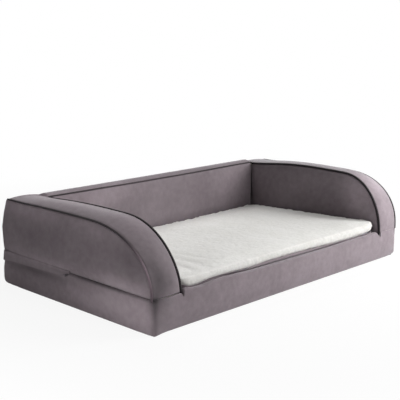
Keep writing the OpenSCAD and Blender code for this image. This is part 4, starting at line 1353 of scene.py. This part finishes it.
# Folds of the sherpa at its front left: place in X and Y where each starts, bend, length and depth;
# then half their width and how far they fade at their ends
SHERPA_FOLDS = [
    (-0.315, -0.03, 0.15, 0.19, 1.6 * MM),
    (-0.350, -0.09, 0.02, 0.18, 2.0 * MM),
    (-0.398, -0.14, 0.0, 0.13, 2.4 * MM),
]
FOLD_W = 15 * MM
FOLD_FADE = 0.06
# Size, height and seed of the pile's nubs, and of the top's broad hollows
PILE_NUBS = ((12 * MM, 2.6 * MM, 210), (6 * MM, 1.1 * MM, 211))
TOP_HOLLOW = 1.6 * MM
TOP_HOLLOW_SIZE = 0.12
# How far the border swells out over the lip, is held in behind it, and starts over it
BORDER_SWELL = 4.5 * MM
BORDER_IN = 1 * MM
BORDER_OVER_LIP = 0.6 * MM
# How far the comfort foam lies in from the mattress's sides
COMFORT_INSET = 12 * MM


def front_share(y):
    """0 at the rear of the mattress and 1 at its front."""
    return np.clip((MATTRESS_REAR_Y - y) / (MATTRESS_REAR_Y - MATTRESS_FRONT_Y), 0, 1)


def sherpa_low_h(y):
    """Height of the sherpa's lower edge, which rises to the front."""
    share = front_share(y)
    return SHERPA_REAR_H + share * (SHERPA_FRONT_H - SHERPA_REAR_H) - SHERPA_LAP * (1 - share)


def sherpa_edge_r(x, y):
    """Half the thickness of the sherpa's rolled edge, fuller to the front and to the rear right."""
    share = front_share(y)
    right = SHERPA_RIGHT_FULL * np.clip(x / MATTRESS_HX, 0, 1) ** 1.5 * (1 - 0.6 * share)
    return SHERPA_REAR_R + share * (SHERPA_FRONT_R - SHERPA_REAR_R) + right


def sherpa_hem(x, y):
    """How far the hem at the front lies over the foam's top edge, or sags under it."""
    return (np.interp(x, *HEM_LINE) - SHERPA_FRONT_H) * smooth((MATTRESS_FRONT_Y + 0.05 - y) / 0.05)


def midway(share):
    """1 midway along a side of the mattress and 0 at its ends."""
    return np.cos(np.pi / 2 * np.clip(share, -1, 1)) ** 2


def drawn_in(points):
    """Draws the mattress sides in between their corners, and pushes its front right corner to the arm."""
    x, y = points[..., 0], points[..., 1] - MATTRESS_Y
    push = CORNER_PUSH * smooth((x - PUSH_X) / PUSH_X_RUN) * smooth((-y - PUSH_Y) / PUSH_Y_RUN)
    points[..., 0] = x * (1 - MATTRESS_DRAW / MATTRESS_HX * midway(y / MATTRESS_HY)) + push
    points[..., 1] = MATTRESS_Y + y * (1 - MATTRESS_DRAW / MATTRESS_HY * midway(x / MATTRESS_HX))
    return points


def mattress_outline(inset, step):
    """Points and outward directions round the mattress in plan."""
    hx, hy, r = MATTRESS_HX - inset, MATTRESS_HY - inset, MATTRESS_CORNER_R - inset
    points, outs = [], []
    for quarter, (sx, sy) in enumerate(QUARTERS):
        turn = np.linspace(0, np.pi / 2, max(4, round(r * np.pi / 2 / step)) + 1)[:-1] + quarter * np.pi / 2
        heading = np.column_stack([np.cos(turn), np.sin(turn)])
        centre = np.array([sx * (hx - r), MATTRESS_Y + sy * (hy - r)])
        points.append(centre + r * heading)
        outs.append(heading)
        run = 2 * (hx - r) if quarter in (0, 2) else 2 * (hy - r)
        end = quarter * np.pi / 2 + np.pi / 2
        out = np.array([math.cos(end), math.sin(end)])
        travel = np.linspace(0, run, max(2, round(run / step)) + 1)[:-1]
        start = centre + r * out
        points.append(start + travel[:, None] * np.array([-out[1], out[0]]))
        outs.append(np.repeat(out[None], len(travel), 0))
    return np.concatenate(points), np.concatenate(outs)


def creases(points):
    """Shallow folds of the sherpa that run to its front near the left arm."""
    x, y = points[..., 0], points[..., 1]
    total = np.zeros_like(x)
    for start_x, start_y, bend, length, depth in SHERPA_FOLDS:
        run = start_y - y
        across = x - (start_x + bend * run)
        ends = smooth(run / FOLD_FADE) * smooth((length - run) / FOLD_FADE)
        total += depth * np.exp(-(across / FOLD_W) ** 2) * ends
    return total


def sherpa_sheet():
    """Crowned top of the sherpa, inside its rolled edge."""
    hx, hy = MATTRESS_HX - SHERPA_EDGE_R, MATTRESS_HY - SHERPA_EDGE_R
    corner = MATTRESS_CORNER_R - SHERPA_EDGE_R
    columns, rows = round(2 * hx / SHERPA_STEP), round(2 * hy / SHERPA_STEP)
    v = np.linspace(-hy, hy, rows + 1)
    u = np.linspace(-1, 1, columns + 1)
    past = np.maximum(np.abs(v) - (hy - corner), 0)
    half_width = hx - corner + np.sqrt(np.maximum(corner ** 2 - past ** 2, 0))
    x = u[:, None] * half_width[None, :]
    y = MATTRESS_Y + np.repeat(v[None, :], columns + 1, 0)
    from_edge = np.minimum(half_width[None, :] - np.abs(x), hy - np.abs(v)[None, :])
    top = drawn_in(np.stack([x, y, np.zeros_like(x)], -1))
    top[..., 2] = sherpa_low_h(top[..., 1]) + 2 * sherpa_edge_r(top[..., 0], top[..., 1])
    top[..., 2] += SHERPA_CROWN * swell(from_edge, 0.6 * hy, 1) - creases(top)
    inward = smooth((hy + v)[None, :] / SHOULDER_RUN) + smooth((x - PUSH_X) / 0.1)
    top[..., 2] += SHERPA_SHOULDER * front_share(y) * np.minimum(inward, 1)
    hollow = TOP_HOLLOW * soft_noise(top * [1, 1, 0], TOP_HOLLOW_SIZE, 200)
    top[..., 2] += hollow * smooth(from_edge / 0.05)
    return top


def rolled_edge(rim):
    """Rings of points from the rim of the sherpa's top round its thick edge to its lower side."""
    ahead = np.roll(rim, -1, 0) - np.roll(rim, 1, 0)
    outs = np.stack([ahead[:, 1], -ahead[:, 0]], -1)
    outs /= np.linalg.norm(outs, axis=1)[:, None]
    half_t, hem = sherpa_edge_r(*rim[:, :2].T), sherpa_hem(*rim[:, :2].T)
    rings = []
    for turn in np.linspace(0, np.pi, 12)[1:]:
        ring = rim.copy()
        power = 0.6 if turn > np.pi / 2 else 0.85
        ring[:, :2] += outs * SHERPA_EDGE_R * max(math.sin(turn), 0) ** power
        ring[:, 2] -= half_t * (1 - math.cos(turn)) - turn / np.pi * hem
        rings.append(ring)
    return rings


def raise_pile(piece):
    """Moves the sherpa's points out by the nubs of its pile, most at its edge and least on its top."""
    place, normal = vertex_values(piece, "co"), vertex_values(piece, "normal")
    pile = sum(height * soft_noise(place, size, seed) for size, height, seed in PILE_NUBS)
    pile *= 1 - 0.6 * smooth((MATTRESS_FRONT_Y + 0.03 - place[:, 1]) / 0.025)
    steep = 1 - 0.78 * smooth((normal[:, 2] - 0.5) / 0.45)
    from_side = MATTRESS_HX - np.abs(place[:, 0])
    inside = np.minimum(from_side, MATTRESS_HY - np.abs(place[:, 1] - MATTRESS_Y))
    steep = np.maximum(steep, 0.9 * (1 - smooth((inside - 7 * MM) / (10 * MM))))
    place += normal * (pile * steep)[:, None]
    piece.data.vertices.foreach_set("co", place.ravel())


def sherpa_top():
    """Sherpa top of the mattress: a crowned sheet with a thick rolled edge and a nubby pile."""
    top = sherpa_sheet()
    columns, rows = top.shape[:2]
    index = np.arange(columns * rows).reshape(columns, rows)
    previous = np.concatenate([index[:-1, 0], index[-1, :-1], index[:0:-1, -1], index[0, :0:-1]])
    faces = grid_faces(columns, rows)
    points, total = [top.reshape(-1, 3)], top[..., 0].size
    for ring in rolled_edge(points[0][previous]):
        current = np.arange(total, total + len(ring))
        faces += np.stack([previous, current, np.roll(current, -1), np.roll(previous, -1)], -1).tolist()
        points.append(ring)
        previous = current
        total += len(ring)
    points.append(np.array([[0, MATTRESS_Y, sherpa_low_h(MATTRESS_Y)]]))
    faces += [[a, total, b] for a, b in zip(previous.tolist(), np.roll(previous, -1).tolist())]
    cloud = np.concatenate(points)
    piece = make_piece("sherpa_top", cloud, faces, cloud[:, :2])
    weld(piece)
    raise_pile(piece)
    # Painted light and shade on the pile
    paint_light_and_shade(piece, PILE_PAINTED_LIGHT)
    finish_surface(piece, SHERPA, 180)
    return dress(piece, ["mattress_sherpa_top"], "mattress")


def comfort_foam():
    """Soft foam under the sherpa, cut to the line of its hem."""
    outline, _ = mattress_outline(COMFORT_INSET, 8 * MM)
    n = len(outline)
    ring = np.zeros((2, n, 3))
    ring[..., :2] = outline
    ring = drawn_in(ring)
    ring[0, :, 2] = low("mattress_comfort_foam").z
    ring[1, :, 2] = sherpa_low_h(outline[:, 1]) + np.minimum(sherpa_hem(*outline.T), 0) - 4 * MM
    centre = [[0, MATTRESS_Y, z] for z in (ring[0, 0, 2], sherpa_low_h(MATTRESS_Y))]
    points = np.concatenate([ring.reshape(-1, 3), centre])
    around = [(k, (k + 1) % n) for k in range(n)]
    faces = [[a, b, n + b, n + a] for a, b in around] + [[b, a, 2 * n] for a, b in around]
    faces += [[n + a, n + b, 2 * n + 1] for a, b in around]
    piece = make_piece("comfort_foam_slab", points, faces, points[:, :2])
    weld(piece)
    finish_surface(piece, SOFT_FOAM, 30)
    return dress(piece, ["mattress_comfort_foam"], "mattress")


def mattress_border():
    """Narrow velvet border round the mattress, which swells out at mid height."""
    outline, outs = mattress_outline(0, 5 * MM)
    closed = np.concatenate([outline, outline[:1]])
    closed_out = np.concatenate([outs, outs[:1]])
    share = np.concatenate([np.linspace(0, 0.78, 8)[:-1], np.linspace(0.78, 1, 16)])
    top = sherpa_low_h(closed[:, 1]) + sherpa_hem(*closed.T) + 3 * MM
    height = BORDER_LOW_H + share[None, :] * (top - BORDER_LOW_H)[:, None]
    level = np.column_stack([closed, np.full(len(closed), BORDER_LOW_H)])
    swollen = (2 * MM + 0.5 * MM * soft_noise(level, 0.03, 130)[:, None]) * np.sin(np.pi * share)[None, :]
    # At the front the cloth is held in behind the lip and swells out over it
    lip = np.interp(closed[:, 0], *LIP_LINE)[:, None] + BORDER_OVER_LIP
    over = BORDER_SWELL * smooth((closed[:, 0] + 0.34) / 0.08)[:, None]
    above = (height - lip) / np.maximum(top[:, None] - lip, 3 * MM)
    held = over * arch(above, 0.5) * (above > 0) - BORDER_IN * smooth((height - BORDER_LOW_H) / 0.02)
    at_front = smooth(-closed_out[:, 1:] * 2 - 1)
    swollen = swollen * (1 - at_front) + held * at_front
    plan = closed[:, None] + swollen[..., None] * closed_out[:, None]
    grid = drawn_in(np.concatenate([plan, height[..., None]], -1))
    piece = cloth_panel("mattress_border", [grid], (0, 0, 1), VELVET, 2 * MM)
    return dress(piece, ["mattress_border"], "mattress")


# Pieces

padded = []
for side, word in ((-1, "left"), (1, "right")):
    padded.append(arm_band(side, f"{word}_arm_band"))
    padded.append(arm_outer_panel(side, f"{word}_arm_outer_panel"))
    padded.append(arm_inner_panel(side, f"{word}_arm_inner_panel"))
    arm_piping(side, "outer", f"{word}_outer_piping")
    arm_piping(side, "inner", f"{word}_inner_piping")
    padded.append(side_border(side, f"{word}_border"))
    arm_filling(side, f"{word}_arm_foam")
padded += [front_cover(), back_border(), back_outer(), back_inner(), back_band()]
back_piping()
lip_filling()
zip_flap()
teeth_tree = tooth_row_tree()
for level in ("lower", "upper"):
    tooth_row(f"zip_teeth_{level}", f"zip_row_{level}", teeth_tree)
underside_panel()
deck_panel()
mattress_underside()
sherpa_top()
comfort_foam()
padded.append(mattress_border())

NODE_MATERIALS = {
    "base_slab_foam": FOAM,
    "back_foam": FOAM,
    "mattress_support_foam": FOAM,
    "zip_tape_lower": ZIP_TAPE,
    "zip_tape_upper": ZIP_TAPE,
    "zip_stops": ZIP_METAL,
    "zip_slider": ZIP_METAL,
    "zip_pull": ZIP_METAL,
}
for node, material in NODE_MATERIALS.items():
    for slot in frame["nodes"][node].material_slots:
        slot.material = material

# Camera, light and floor

# Camera of the photograph, solved from the sofa's own corners in it
IMAGE_W = 400
SENSOR_MM = 36
CAMERA_PLACE = Vector((-2.2441, -1.8330, 0.8548))
CAMERA_YAW, CAMERA_PITCH, CAMERA_ROLL = (math.radians(a) for a in (49.456, -12.442, 2.775))
CAMERA_FOCAL_PX = 951.3


def make_camera():
    """Camera of the photograph, from its place, its three angles and its focal length in pixels."""
    forward = Vector((math.sin(CAMERA_YAW) * math.cos(CAMERA_PITCH),
                      math.cos(CAMERA_YAW) * math.cos(CAMERA_PITCH), math.sin(CAMERA_PITCH)))
    level = Vector((math.cos(CAMERA_YAW), -math.sin(CAMERA_YAW), 0))
    upward = level.cross(forward)
    right = math.cos(CAMERA_ROLL) * level + math.sin(CAMERA_ROLL) * upward
    up = -math.sin(CAMERA_ROLL) * level + math.cos(CAMERA_ROLL) * upward
    camera = bpy.data.objects.new("camera", bpy.data.cameras.new("camera"))
    camera.data.sensor_width = SENSOR_MM
    camera.data.lens = CAMERA_FOCAL_PX / IMAGE_W * SENSOR_MM
    turn = Matrix((right, up, -forward)).transposed().to_4x4()
    camera.matrix_world = Matrix.Translation(CAMERA_PLACE) @ turn
    bpy.context.scene.collection.objects.link(camera)
    bpy.context.scene.camera = camera


def area_light(name, place, target, size, power):
    """Round lamp that faces a target."""
    light = bpy.data.lights.new(name, "AREA")
    light.shape = "DISK"
    light.size = size
    light.energy = power
    lamp = bpy.data.objects.new(name, light)
    lamp.location = place
    lamp.rotation_euler = (Vector(target) - Vector(place)).to_track_quat("-Z", "Y").to_euler()
    bpy.context.scene.collection.objects.link(lamp)


def background_rays(tree):
    """1 for rays that show the background: camera, glossy and transmission rays."""
    path = add(tree, "LightPath")
    glossy = maths(tree, "MAXIMUM", path.outputs["Is Glossy Ray"], path.outputs["Is Transmission Ray"])
    return maths(tree, "MAXIMUM", path.outputs["Is Camera Ray"], glossy)


def make_world():
    """White background that lights nothing, as the lamps do that."""
    world = bpy.data.worlds.new("studio")
    world.use_nodes = True
    tree = world.node_tree
    tree.nodes["Background"].inputs["Color"].default_value = (1, 1, 1, 1)
    tree.links.new(background_rays(tree), tree.nodes["Background"].inputs["Strength"])
    bpy.context.scene.world = world


def make_floor():
    """Pale floor that keeps a soft shadow and fades into the white background."""
    half = 30.0
    corners = np.array([(-half, -half, 0), (half, -half, 0), (half, half, 0), (-half, half, 0)])
    floor = make_piece("floor", corners, [[0, 1, 2, 3]], corners[:, :2])
    material, tree, shader = new_material("studio_floor")
    shader.inputs["Base Color"].default_value = (0.86, 0.86, 0.86, 1)
    shader.inputs["Roughness"].default_value = 0.9
    shader.inputs["Specular IOR Level"].default_value = 0.0
    glow = add(tree, "Emission", Color=(1, 1, 1, 1))
    glow.inputs["Strength"].default_value = 1.0
    mixed = add(tree, "MixShader")
    away = add(tree, "VectorMath", operation="LENGTH")
    tree.links.new(place_of(tree), away.inputs[0])
    far = add(tree, "MapRange", interpolation_type="SMOOTHSTEP")
    for name, value in (("From Min", 0.7), ("From Max", 1.6), ("To Min", 0.9), ("To Max", 1.0)):
        far.inputs[name].default_value = value
    tree.links.new(away.outputs["Value"], far.inputs["Value"])
    share = maths(tree, "MULTIPLY", background_rays(tree), far.outputs["Result"])
    tree.links.new(share, mixed.inputs[0])
    tree.links.new(shader.outputs[0], mixed.inputs[1])
    tree.links.new(glow.outputs[0], mixed.inputs[2])
    tree.links.new(mixed.outputs[0], tree.nodes["Material Output"].inputs["Surface"])
    floor.data.materials.append(material)


# Lamps: name, place, target, size and power
LAMPS = [
    ("right_low", (2.0, -1.5, 0.9), (0.2, 0, 0.1), 1.2, 20),
    ("right_high", (1.6, -1.6, 2.2), (0.1, 0, 0.1), 1.5, 28),
    ("right_side", (2.5, 0.2, 1.0), (0, 0, 0.1), 1.2, 20),
    ("right_near", (1.1, -1.0, 0.7), (0.4, -0.2, 0.1), 0.6, 10),
    ("left_floor", (-1.3, -0.4, 1.6), (-1.1, -0.4, 0), 1.0, 2),
    ("left_low", (-1.5, -0.35, 0.15), (-0.6, -0.15, 0.05), 0.3, 2.8),
    ("front_high", (-0.3, -1.7, 2.0), (0, 0.1, 0.1), 1.0, 16.5),
    ("back_high", (0.1, 1.0, 2.0), (0.1, 0.1, 0.1), 1.0, 7),
]
make_camera()
make_world()
make_floor()
for lamp in LAMPS:
    area_light(*lamp)
bpy.context.scene.view_settings.view_transform = "Standard"
